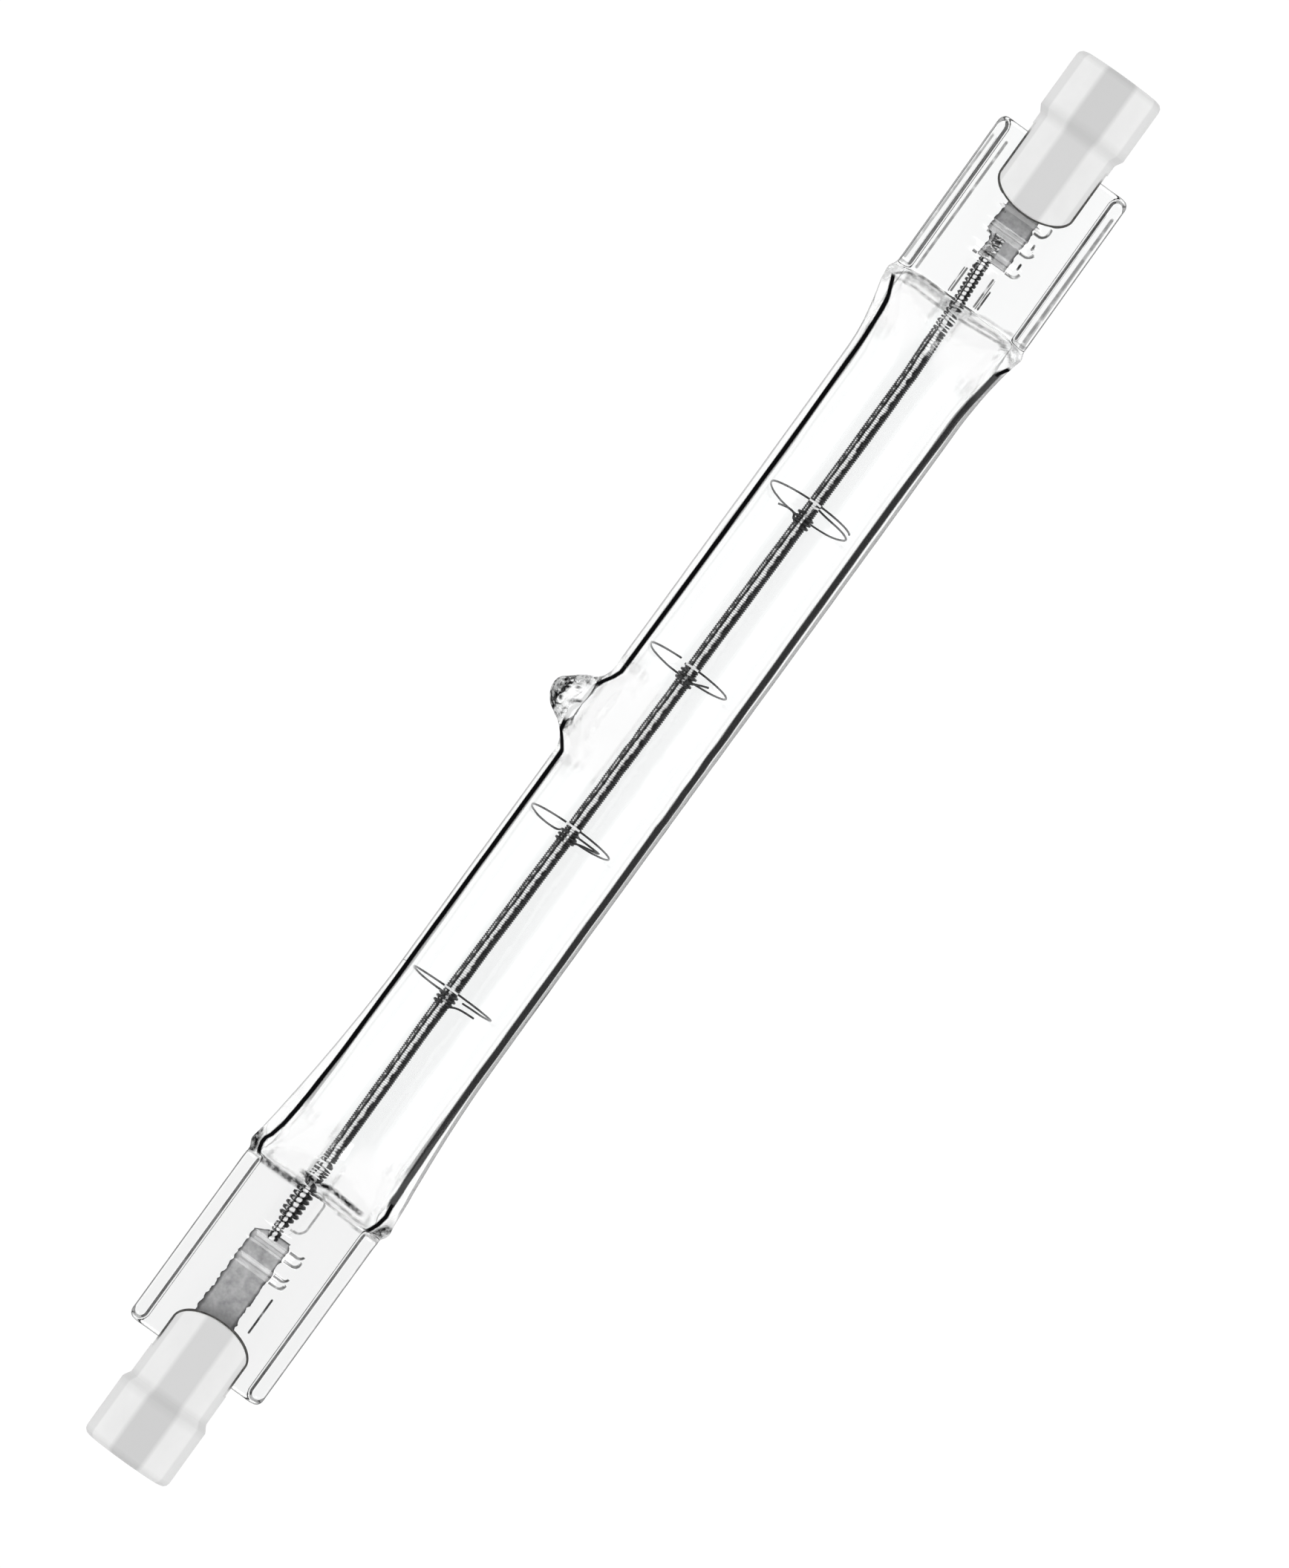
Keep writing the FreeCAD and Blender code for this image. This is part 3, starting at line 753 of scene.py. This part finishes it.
def glass_material(name, inner):
    """Clear fused quartz. Steep walls and folds go dark, as they do where they bend the light
    away, and the lamps light what is inside the tube without the glass stopping them."""
    material, tree, coords = new_material(name)
    facing = level(tree, "LayerWeight", output="Facing")
    behind = level(tree, "NewGeometry", output="Backfacing")
    ahead = 1.0 - behind
    colour = CLEAR
    if not inner:
        # painted shade: the seals' glass is made greyer
        colour = mix_colour(value_of(tree, "seal_shade"), CLEAR, (0.92, 0.922, 0.922))
    glass = level(tree, "BsdfPrincipled", {
        "Base Color": colour, "Transmission Weight": 1.0, "IOR": 1.458,
        "Roughness": ramp(noise_level(coords, 260.0, 3.0), [(0.3, 0.0), (0.75, 0.012)])})
    clear = level(tree, "BsdfTransparent", {"Color": (0.99, 0.99, 0.99)})
    dark = level(tree, "BsdfPrincipled", {"Base Color": (0.004, 0.004, 0.0045), "Roughness": 0.6,
                                          "Specular IOR Level": 0.0})
    if inner:
        mask = bore_dark(tree, facing, ahead, behind)
    else:
        mask = outer_dark(tree, coords, facing, ahead)
    body = mix_shader(mask, mix_shader(value_of(tree, "calm"), glass, clear), dark)
    for ray in ("Is Diffuse Ray", "Is Shadow Ray"):
        body = mix_shader(level(tree, "LightPath", output=ray), body, clear)
    node(tree, "OutputMaterial", {"Surface": body})
    return material


def metal_material(name, dark, light, roughness, grain, bump=0.00001, crest=None, with_glints=False):
    """A metal with a drawn or rolled grain, patchy in colour and gloss. On a coil, crest gives
    the two greys of a painted highlight along its top and bottom, with painted glint specks on
    its glint side. A metal with glints is lighter where its glint and scuff value is above 0, and darker
    where it is below."""
    material, tree, coords = new_material(name)
    metallic = 1.0
    patches = noise_level(coords, grain, 5.0, 0.6)
    colour = ramp(patches, [(0.32, dark), (0.68, light)])
    if crest:
        # painted highlight: a bright, less metallic stripe on the coil's top and bottom, and bright
        # specks beside it
        bright = ramp(patches, [(0.3, crest[0]), (0.6, crest[1])])
        place = value_of(tree, "crest") + (patches - 0.5) * 0.12
        painted_specks = ramp(noise_level(coords, grain, 2.0), [(0.46, 0.1), (0.54, 0.8)])
        beside = ramp(place, [(0.62, 0.0), (0.68, 1.0), (0.80, 1.0), (0.85, 0.0)])
        painted_specks = painted_specks * beside * value_of(tree, "glint_side")
        painted_highlight = largest(ramp(place, [(0.93, 0.0), (0.96, 1.0)]), painted_specks)
        colour = mix_colour(painted_highlight, colour, bright)
        metallic = 1.0 - painted_highlight * 0.9
    if with_glints:
        glint_and_scuff = value_of(tree, "glint_and_scuff")
        # painted glints and scuffs lighten the foil, and its rims darken
        colour = mix_colour(largest(glint_and_scuff, 0.0), colour, (0.75, 0.75, 0.755))
        colour = mix_colour(largest(glint_and_scuff * -1.0, 0.0), colour, (0.03, 0.03, 0.031))
    fine = noise_level(coords, grain * 4.3, 3.0, 0.5)
    return grained(material, colour, fine, roughness, 0.35, bump, Metallic=metallic)


def ceramic_material():
    """Unglazed off-white ceramic, with a fine pressed grain all over. Painted shade makes the top
    and the bottom a little greyer than the sides, and darkens the sides where they turn down."""
    material, tree, coords = new_material("ceramic_body")
    x, y, z = [abs(part) for part in parts_of(coords)]
    along = x * 10.0
    angle = math_node("ARCTAN2", y, z)
    # painted shade: a greyer band on the top and the bottom, and darker where the sides turn down
    top_bottom_shade = ramp(angle, [(0.31, 1.0), (0.42, 0.0)])
    rim = ramp(angle, [(0.94, 0.0), (1.02, 1.0)])
    cloud = noise_level(coords, 420.0, 5.0, 0.6)
    colour = ramp(cloud, [(0.3, (0.858, 0.858, 0.856)), (0.7, (0.895, 0.895, 0.893))])
    colour = mix_colour(top_bottom_shade, colour, ramp(along, [(0.533, 0.705), (0.545, 0.66)]))
    colour = mix_colour(rim * 0.6, colour, (0.70, 0.70, 0.70))
    bands = ramp(along, [(0.533, 1.0), (0.536, 0.88), (0.541, 0.88), (0.545, 1.0),
                         (0.583, 1.0), (0.5855, 0.9)])
    colour = mix_colour(1.0, colour, bands, "MULTIPLY")
    grain = noise_level(coords, 5200.0, 3.0, 0.6)
    return grained(material, colour, grain, (0.55, 0.75), 0.25, 0.00002, Specular_IOR_Level=0.25)


def cement_material():
    """Dark cement round each seal, paler from white dust beyond the seal's end."""
    material, tree, coords = new_material("cement_grain")
    grit = noise_level(coords, 3800.0, 5.0, 0.7)
    colour = ramp(grit, [(0.3, (0.05, 0.05, 0.048)), (0.7, (0.16, 0.157, 0.15))])
    shifted = abs(parts_of(coords)[0] * 10.0 - 0.0075)
    outer = ramp(shifted, [(0.5115, 0.0), (0.5125, 1.0)])
    colour = mix_colour(outer, colour, (0.74, 0.74, 0.735))
    return grained(material, colour, grit, (0.7, 0.95), 0.6, 0.00005, Specular_IOR_Level=0.15)


outer_glass = glass_material("quartz_outer", inner=False)
inner_glass = glass_material("quartz_bore", inner=True)
coil_metal = metal_material("tungsten_coil", (0.015, 0.015, 0.016), (0.06, 0.06, 0.061),
                            (0.25, 0.42), 2600.0, crest=(0.9, 1.0))
wire_metal = metal_material("tungsten_wire", (0.02, 0.02, 0.021), (0.07, 0.07, 0.072),
                            (0.25, 0.45), 1800.0, crest=(0.8, 0.9))
foil_metal = metal_material("molybdenum_foil", (0.315, 0.315, 0.32), (0.54, 0.54, 0.545),
                            (0.35, 0.6), 1100.0, 0.00002, with_glints=True)
lead_metal = metal_material("molybdenum_wire", (0.34, 0.34, 0.344), (0.5, 0.5, 0.505),
                            (0.3, 0.5), 1500.0)
contact_metal = metal_material("contact_nickel", (0.56, 0.55, 0.52), (0.70, 0.69, 0.66),
                               (0.25, 0.42), 900.0)
ceramic = ceramic_material()
cement = cement_material()


# Quartz piece

def set_values(piece, name, values):
    attribute = piece.data.attributes.new(name, "FLOAT", "POINT")
    attribute.data.foreach_set("value", np.array(values, np.float32))


def line_places(verts, normals):
    """For each ring's two sides, the facing value at the dark line and millimetres a unit of
    facing spans there."""
    found = np.zeros((2, len(verts), RING))
    found[1] = 1.0
    for row, (points, ways) in enumerate(zip(verts, normals)):
        x = points[:, 0].mean()
        for side in (1, -1):
            half = points[:, 1] * side > 0
            top = half & (points[:, 2] > 0.3)
            y = np.abs(points[top, 1])
            order = np.argsort(y)
            steep = np.maximum.accumulate((1 - np.abs(ways[top, 2]))[order])
            line = dark_line(x, side)
            low, middle, high = np.interp([line - 0.15, line, line + 0.15], y[order], steep)
            found[0, row, half] = middle
            found[1, row, half] = 0.3 / max(high - low, 0.03)
    for i in range(4):
        found[:, 1:-1] = (found[:, :-2] + 2 * found[:, 1:-1] + found[:, 2:]) / 4
    return found.reshape(2, -1)


def build_quartz():
    rows, verts, values = quartz_outside()
    start = len(verts)
    bore_rows, bore_verts, bore_calm = quartz_hollow()
    outside = closed_faces(rows, RING)
    inside = closed_faces(bore_rows, BORE_RING, start, flip=True)
    verts = np.array(verts + bore_verts)
    piece = add_mesh("quartz_glass", verts, outside + inside, [outer_glass, inner_glass])
    piece.data.polygons.foreach_set("material_index", [0] * len(outside) + [1] * len(inside))
    normals = np.zeros(3 * len(verts))
    piece.data.vertices.foreach_get("normal", normals)
    normals = normals.reshape(-1, 3)
    rings = (rows, RING, 3)
    values["tube"] *= fade(np.abs(normals[:start, 0]), 0.25, 0.45)
    values["line"], values["steepness"] = line_places(verts[:start].reshape(rings),
                                                      normals[:start].reshape(rings))
    none = np.zeros(len(bore_verts))
    for name, value in values.items():
        values[name] = np.concatenate([value, bore_calm if name == "calm" else none])
    x = verts[:, 0]
    wall = fade(np.abs(normals[:, 0]), 0.3, 0.55)
    wall[np.abs(x - TIP_X) < 5.0] = 1.0
    values["wall"] = wall * np.maximum(1 - 1.4 * values["calm"], 0.0)
    # painted shade: the seals' glass greyer, fully at end a and faintly at end b
    values["seal_shade"] = np.where(x > 0, 0.15 * rise(x, 39.2, 39.7), rise(-x, 35.9, 36.4))
    for name, value in values.items():
        set_values(piece, name, value)
    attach(piece, "root")
    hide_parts("quartz_envelope")


build_quartz()


# Wires

def wire_mesh(points, radii, sides):
    """Points and faces of a round wire that follows a line of points, closed at its ends."""
    points = np.asarray(points, float)
    run = np.gradient(points, axis=0)
    run /= np.linalg.norm(run, axis=1)[:, None]
    normal = np.cross(run[0], [0.0, 0.0, 1.0])
    if np.linalg.norm(normal) < 0.2:
        normal = np.cross(run[0], [0.0, 1.0, 0.0])
    normal /= np.linalg.norm(normal)
    verts = []
    turn = np.linspace(0, 2 * math.pi, sides, endpoint=False)
    for point, way, size in zip(points, run, radii):
        normal = normal - way * np.dot(normal, way)
        normal /= np.linalg.norm(normal)
        side = np.cross(way, normal)
        verts.extend(point + size * (np.cos(t) * normal + np.sin(t) * side) for t in turn)
    faces = grid_faces(len(points), sides)
    faces.append(tuple(range(sides))[::-1])
    faces.append(tuple(range(len(verts) - sides, len(verts))))
    return verts, faces


def axis_y(x):
    """Y of the filament's own line."""
    return run_at(FILAMENT_RUN, x)


BODY_LOW, BODY_HIGH = -33.6, 37.0
LEG_LOW, LEG_HIGH = -36.1, 39.5


def coil_pitch(x):
    """Distance between turns: coarse legs, uneven open turns, and the fine body."""
    if x < LEG_LOW:
        return 0.41
    if x > LEG_HIGH:
        return 0.34
    if x < -35.2:
        return 0.6
    if x < BODY_LOW:
        return 0.30 + 0.5 * abs(noise_at(x, 0.0, 0.0, 1.3, 5.0))
    if x > BODY_HIGH:
        return 0.27 + 0.3 * abs(noise_at(x, 0.0, 0.0, 1.3, 15.0))
    return 0.17


def leg_radius(x):
    """The coil's own radius: the left leg is wide near the tube and narrow by the foil."""
    if x > LEG_HIGH - 1:
        return COIL_RADIUS - 0.09 * rise(x, LEG_HIGH - 1, LEG_HIGH + 0.5)
    if x > LEG_LOW + 0.6:
        return COIL_RADIUS
    wide = rise(x, -39.0, -38.4) * fade(x, -36.1, -35.6)
    narrow = fade(x, -39.0, -38.4)
    return COIL_RADIUS + 0.09 * wide - 0.10 * narrow


def coil_path():
    """The wire's own line, and its radius at each point."""
    points, radii = [], []
    x, angle = LEG_TIP_A + 0.12, 0.4
    while x < LEG_TIP_B - 0.12:
        leg = fade(x, -35.4, -35.1) + 0.85 * rise(x, LEG_HIGH - 0.2, LEG_HIGH + 0.1)
        wire = COIL_WIRE + COIL_WIRE * leg
        steps = 12 if BODY_LOW < x < BODY_HIGH else 18
        ring = leg_radius(x) - wire
        y = axis_y(x) + ring * math.cos(angle)
        z = ring * math.sin(angle)
        on_foil = rise(max(-x - END_A.foil_in, x - END_B.foil_in), -0.15, 0.15)
        raised = LEG_LIFT + wire + (z + ring) / (2 * ring) * (COIL_RADIUS - LEG_LIFT - 2 * wire)
        points.append((x, y, z + (raised - z) * on_foil))
        radii.append(wire)
        angle += 2 * math.pi / steps
        x += coil_pitch(x) / steps
    return points, radii


def build_filament():
    points, radii = coil_path()
    verts, faces = wire_mesh(points, radii, 6)
    piece = add_mesh("filament_coil", verts, faces, [coil_metal])
    verts = np.array(verts)
    middle = axis_y(verts[:, 0])
    # Places for the painted highlight: the stripe on the coil's top and bottom, glint specks on its +y
    # side and on its leg over foil b
    crest = np.abs(verts[:, 2]) / np.maximum(np.hypot(verts[:, 1] - middle, verts[:, 2]), 0.01)
    on_foil = verts[:, 0] > END_B.foil_in
    set_values(piece, "crest", np.where(on_foil, 0.74, crest))
    set_values(piece, "glint_side", on_foil | (verts[:, 1] > middle))
    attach(piece, "root")
    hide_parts("filament")


build_filament()


def build_support(index, hub, ring_x, ring_y, radius, tilt, arm, sweep, spread, loose):
    """Tight turns on the coil, an arm out from them and an open loop near the tube's wall.

    hub is the stretch of coil under the tight turns, sweep how far the loop goes round in
    degrees, spread how far it drifts along the lamp meanwhile, and loose the wire's other end,
    which stands out from the first turn."""
    low, high = hub
    turns = max(3, round((high - low) / 0.3))
    hub_radius = COIL_RADIUS + HUB_GAP
    arm_angle = math.radians(arm)
    last = arm_angle - math.radians(20)
    steps = turns * 16
    points = []
    for i in range(steps + 1):
        x = low + (high - low) * i / steps
        angle = last - 2 * math.pi * turns * (1 - i / steps)
        points.append((x, axis_y(x) + hub_radius * math.cos(angle), hub_radius * math.sin(angle)))
    points = loose + points
    lean = math.tan(math.radians(tilt))
    start_y = axis_y(high)

    def on_ring(angle, reach, drift=0.0):
        z = reach * math.sin(angle)
        return (ring_x + lean * z + drift, ring_y + reach * math.cos(angle), z)

    arm_way = (math.cos(arm_angle), math.sin(arm_angle))
    far = on_ring(arm_angle + 0.02, radius - LOOP_BEND)
    for i in range(1, 8):
        t = i / 8
        reach = hub_radius + 0.1 + (radius - LOOP_BEND - hub_radius - 0.1) * t
        x = high + (far[0] - high) * t
        centre = start_y + (ring_y - start_y) * t
        points.append((x, centre + reach * arm_way[0], reach * arm_way[1]))
    count = max(24, round(sweep / 6))
    for i in range(count + 1):
        t = i / count
        ease = 1 - (1 - min(t * count / 4, 1.0)) ** 2
        angle = arm_angle + 0.06 + math.radians(sweep) * t
        reach = radius - LOOP_BEND + LOOP_BEND * ease
        points.append(on_ring(angle, reach, spread * (t - 0.5) * ease))
    line = smooth_line(np.array(points), 2)
    reach = np.hypot(line[:, 1] - axis_y(low), line[:, 2])
    inside = (line[:, 0] > low - 0.1) & (line[:, 0] < high + 0.1)
    thick = fade(reach, hub_radius, hub_radius + 0.25) * inside
    verts, faces = wire_mesh(line, SUPPORT_WIRE + (HUB_WIRE - SUPPORT_WIRE) * thick, 8)
    piece = add_mesh("support_wire_%d" % index, verts, faces, [wire_metal])
    verts = np.array(verts)
    beside = np.abs(verts[:, 1] - axis_y(ring_x))
    # painted highlight: the wire is coloured bright where it runs over the top near the coil's line
    glint = ((verts[:, 2] > 2.6) & (beside < 0.6)) | ((verts[:, 2] > 0.3) & (beside < 0.13))
    set_values(piece, "crest", glint.astype(float))
    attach(piece, "root")
    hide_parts("filament_support_%d" % index)


def smooth_line(points, rounds):
    """Corner cutting that keeps both ends."""
    line = np.asarray(points, float)
    for i in range(rounds):
        inner = np.empty((2 * (len(line) - 1), 3))
        inner[0::2] = 0.75 * line[:-1] + 0.25 * line[1:]
        inner[1::2] = 0.25 * line[:-1] + 0.75 * line[1:]
        if i % 2:
            inner = inner[::2]
        line = np.vstack([line[:1], inner, line[-1:]])
    return line


build_support(1, (-20.55, -19.55), -19.50, 0.50, 3.27, 4.2, -90, 338, 0.12,
              [(-20.02, -1.75, 0.35), (-20.05, -1.0, 0.45), (-20.12, -0.45, 0.6), (-20.3, 0.0, 0.66)])
build_support(2, (-6.55, -5.60), -5.72, 0.40, 3.27, 8.0, -70, 338, 0.10,
              [(-5.70, -0.35, 0.62), (-5.71, -1.3, 0.5), (-5.75, -2.1, 0.35), (-5.80, -2.1, 0.3),
               (-5.93, -1.2, 0.35), (-6.08, -0.5, 0.5), (-6.3, -0.1, 0.6)])
build_support(3, (7.10, 8.05), 8.03, 0.31, 3.27, 8.0, 80, 352, 0.10,
              [(7.95, -1.56, 0.3), (7.72, -0.9, 0.4), (7.5, -0.4, 0.55), (7.25, 0.0, 0.63)])
build_support(4, (20.65, 21.60), 21.85, 0.05, 3.33, 9.5, 95, 430, 0.45,
              [(21.08, 2.08, 0.1), (21.24, 1.5, 0.1), (21.28, 1.0, 0.1), (21.15, 0.72, 0.1),
               (20.9, 0.66, 0.2)])


# Foils

def build_foil(letter, end):
    """A foil: thin, a little wavy and uneven at its edges. The one at end a has clipped inner
    corners, and the upper edge of the one at end b steps out halfway."""
    length = end.foil_out - end.foil_in
    rows, columns = 180, 24
    top, low, marks = [], [], []
    glints = (42.67, 40.88) if end.side < 0 else (45.4,)
    for i in range(rows + 1):
        share = i / rows
        out = end.foil_in + length * share
        if end.side < 0:
            clip = 0.9 * max(0.55 - (out - end.foil_in), 0.0)
            upper_edge = FOIL_HALF + 0.08
        else:
            clip = 0.0
            upper_edge = FOIL_HALF - 0.1 - 0.42 * fade(out, 44.6, 45.2)
        for j in range(columns + 1):
            across = -1 + 2 * j / columns
            edge = upper_edge - 2 * clip if across > 0 else FOIL_HALF - 0.3 * clip
            ragged = 0.16 * noise_at(out, across * 3, 0.0, 1.9, 40.0 + end.side)
            ragged += 0.08 * noise_at(out, across * 3, 0.0, 5.5, 50.0 + end.side)
            y = across * (edge - 0.05 + ragged * abs(across) ** 6)
            start = 0.05 * noise_at(0.0, y, 0.0, 2.2, 60.0) * (1 - share) ** 12
            wave = 0.012 * noise_at(out, y, 0.0, 0.9, 70.0)
            x = end.side * (out + max(start, 0.0))
            thin = FOIL_HALF_THICK * (1 - 0.75 * abs(across) ** 8)
            top.append((x, end.leg_side + y, wave + thin))
            low.append((x, end.leg_side + y, wave - thin))
            # painted highlights: thin light lines across the foil where the glass ribs lie
            glint = max(soft_line(out, place, 0.11) for place in glints)
            scuff = 0.5 * max(0.0, noise_at(out, y, 0.0, 2.6, 90.0) - 0.25)
            rim = max(rise(abs(across), 0.86, 0.96), fade(share, 0.004, 0.02))
            marks.append(max(0.45 * glint, scuff) * (1 - rim) - 0.9 * rim)
    wide = columns + 1
    count = len(top)
    faces = []
    for i in range(rows):
        for j in range(columns):
            a = i * wide + j
            quad = (a, a + 1, a + wide + 1, a + wide)
            upper = quad if end.side < 0 else quad[::-1]
            faces += [upper, tuple(count + k for k in upper[::-1])]
    border = [i * wide for i in range(rows)] + [rows * wide + j for j in range(columns)]
    border += [i * wide + columns for i in range(rows, 0, -1)] + list(range(columns, 0, -1))
    for a, b in zip(border, border[1:] + border[:1]):
        quad = (a, b, count + b, count + a)
        faces.append(quad if end.side < 0 else quad[::-1])
    piece = add_mesh("foil_strip_" + letter, top + low, faces, [foil_metal])
    set_values(piece, "glint_and_scuff", marks + marks)
    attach(piece, "root")
    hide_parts("seal_foil_" + letter)


build_foil("a", END_A)
build_foil("b", END_B)


# CAD nodes that stay as they are, with better materials

def dress(name, material):
    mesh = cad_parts[name].data
    mesh.materials.clear()
    mesh.materials.append(material)
    mesh.polygons.foreach_set("use_smooth", [True] * len(mesh.polygons))
    mesh.set_sharp_from_angle(angle=math.radians(35.0))
    mesh.update()


for letter in "ab":
    dress("ceramic_cap_" + letter, ceramic)
    dress("cement_" + letter, cement)
    dress("contact_" + letter, contact_metal)
    dress("lead_wire_" + letter, lead_metal)


# Floor, world and lamps

def build_floor():
    """White paper under the lamp, even and bright where it is seen directly."""
    size = 3000.0
    low = -TUBE_RADIUS - 0.012
    corners = [(-size, -size, low), (size, -size, low), (size, size, low), (-size, size, low)]
    material, tree, coords = new_material("floor_paper")
    grain = noise_level(coords, 40.0)
    paper = level(tree, "BsdfDiffuse", {"Color": ramp(grain, [(0.3, 0.84), (0.7, 0.87)])})
    glow = level(tree, "Emission", {"Strength": 0.9})
    faint = level(tree, "BsdfDiffuse", {"Color": (0.15, 0.15, 0.15)})
    seen = level(tree, "AddShader", {0: glow, 1: faint})
    direct = largest(*[level(tree, "LightPath", output="Is %s Ray" % kind)
                       for kind in ("Camera", "Transmission", "Glossy")])
    node(tree, "OutputMaterial", {"Surface": mix_shader(direct, paper, seen)})
    floor = add_mesh("floor", corners, [(0, 1, 2, 3)], [material], smooth=False)


def build_world():
    """A pale even sky, a little brighter towards the horizon than overhead."""
    world = bpy.data.worlds.new("studio")
    bpy.context.scene.world = world
    tree = clear_tree(world)
    height = parts_of(level(tree, "TexCoord", output="Generated"))[2]
    shade = ramp(height, [(0.0, 1.0), (0.35, 0.75), (1.0, 0.15)])
    node(tree, "OutputWorld", {"Surface": level(tree, "Background", {"Color": shade})})


def area_lamp(name, place, size_x, size_y, radiance):
    """A flat lamp that faces the object, with its long side along the lamp it lights."""
    lamp = bpy.data.lights.new(name, "AREA")
    lamp.shape = "RECTANGLE"
    lamp.size = size_x
    lamp.size_y = size_y
    lamp.energy = radiance * math.pi * size_x * size_y
    holder = add_object(name, lamp)
    holder.location = place
    holder.rotation_euler = (math.atan2(-place[1], place[2]), 0, 0)


build_floor()
build_world()
area_lamp("lamp_left", (0, 1.5, 0.9), 2.4, 0.9, 1.2)
area_lamp("lamp_right", (0, -1.5, 0.9), 2.4, 0.9, 1.2)
area_lamp("lamp_over_a", (-1.6, 0, 1.7), 2.4, 0.3, 5.0)
area_lamp("lamp_over_b", (1.6, 0, 1.7), 2.4, 0.3, 5.0)


# Camera, straight above, as the photograph was taken

def build_camera():
    angle = math.radians(PHOTO_TURN)
    frame_height = PHOTO_HEIGHT / PIXELS_PER_MM * MM
    data = bpy.data.cameras.new("camera")
    data.lens = 400.0
    data.sensor_width = 36.0
    data.clip_start = 0.05
    data.clip_end = 30.0
    camera = add_object("camera", data)
    right = Vector((math.cos(angle), -math.sin(angle), 0))
    up = Vector((math.sin(angle), math.cos(angle), 0))
    middle = (PHOTO_MIDDLE[0] * right + PHOTO_MIDDLE[1] * up) * MM
    distance = frame_height * data.lens / data.sensor_width
    camera.location = middle + Vector((0, 0, distance))
    camera.rotation_euler = (0, 0, -angle)
    bpy.context.scene.camera = camera


build_camera()

view = bpy.context.scene.view_settings
view.view_transform = "Standard"
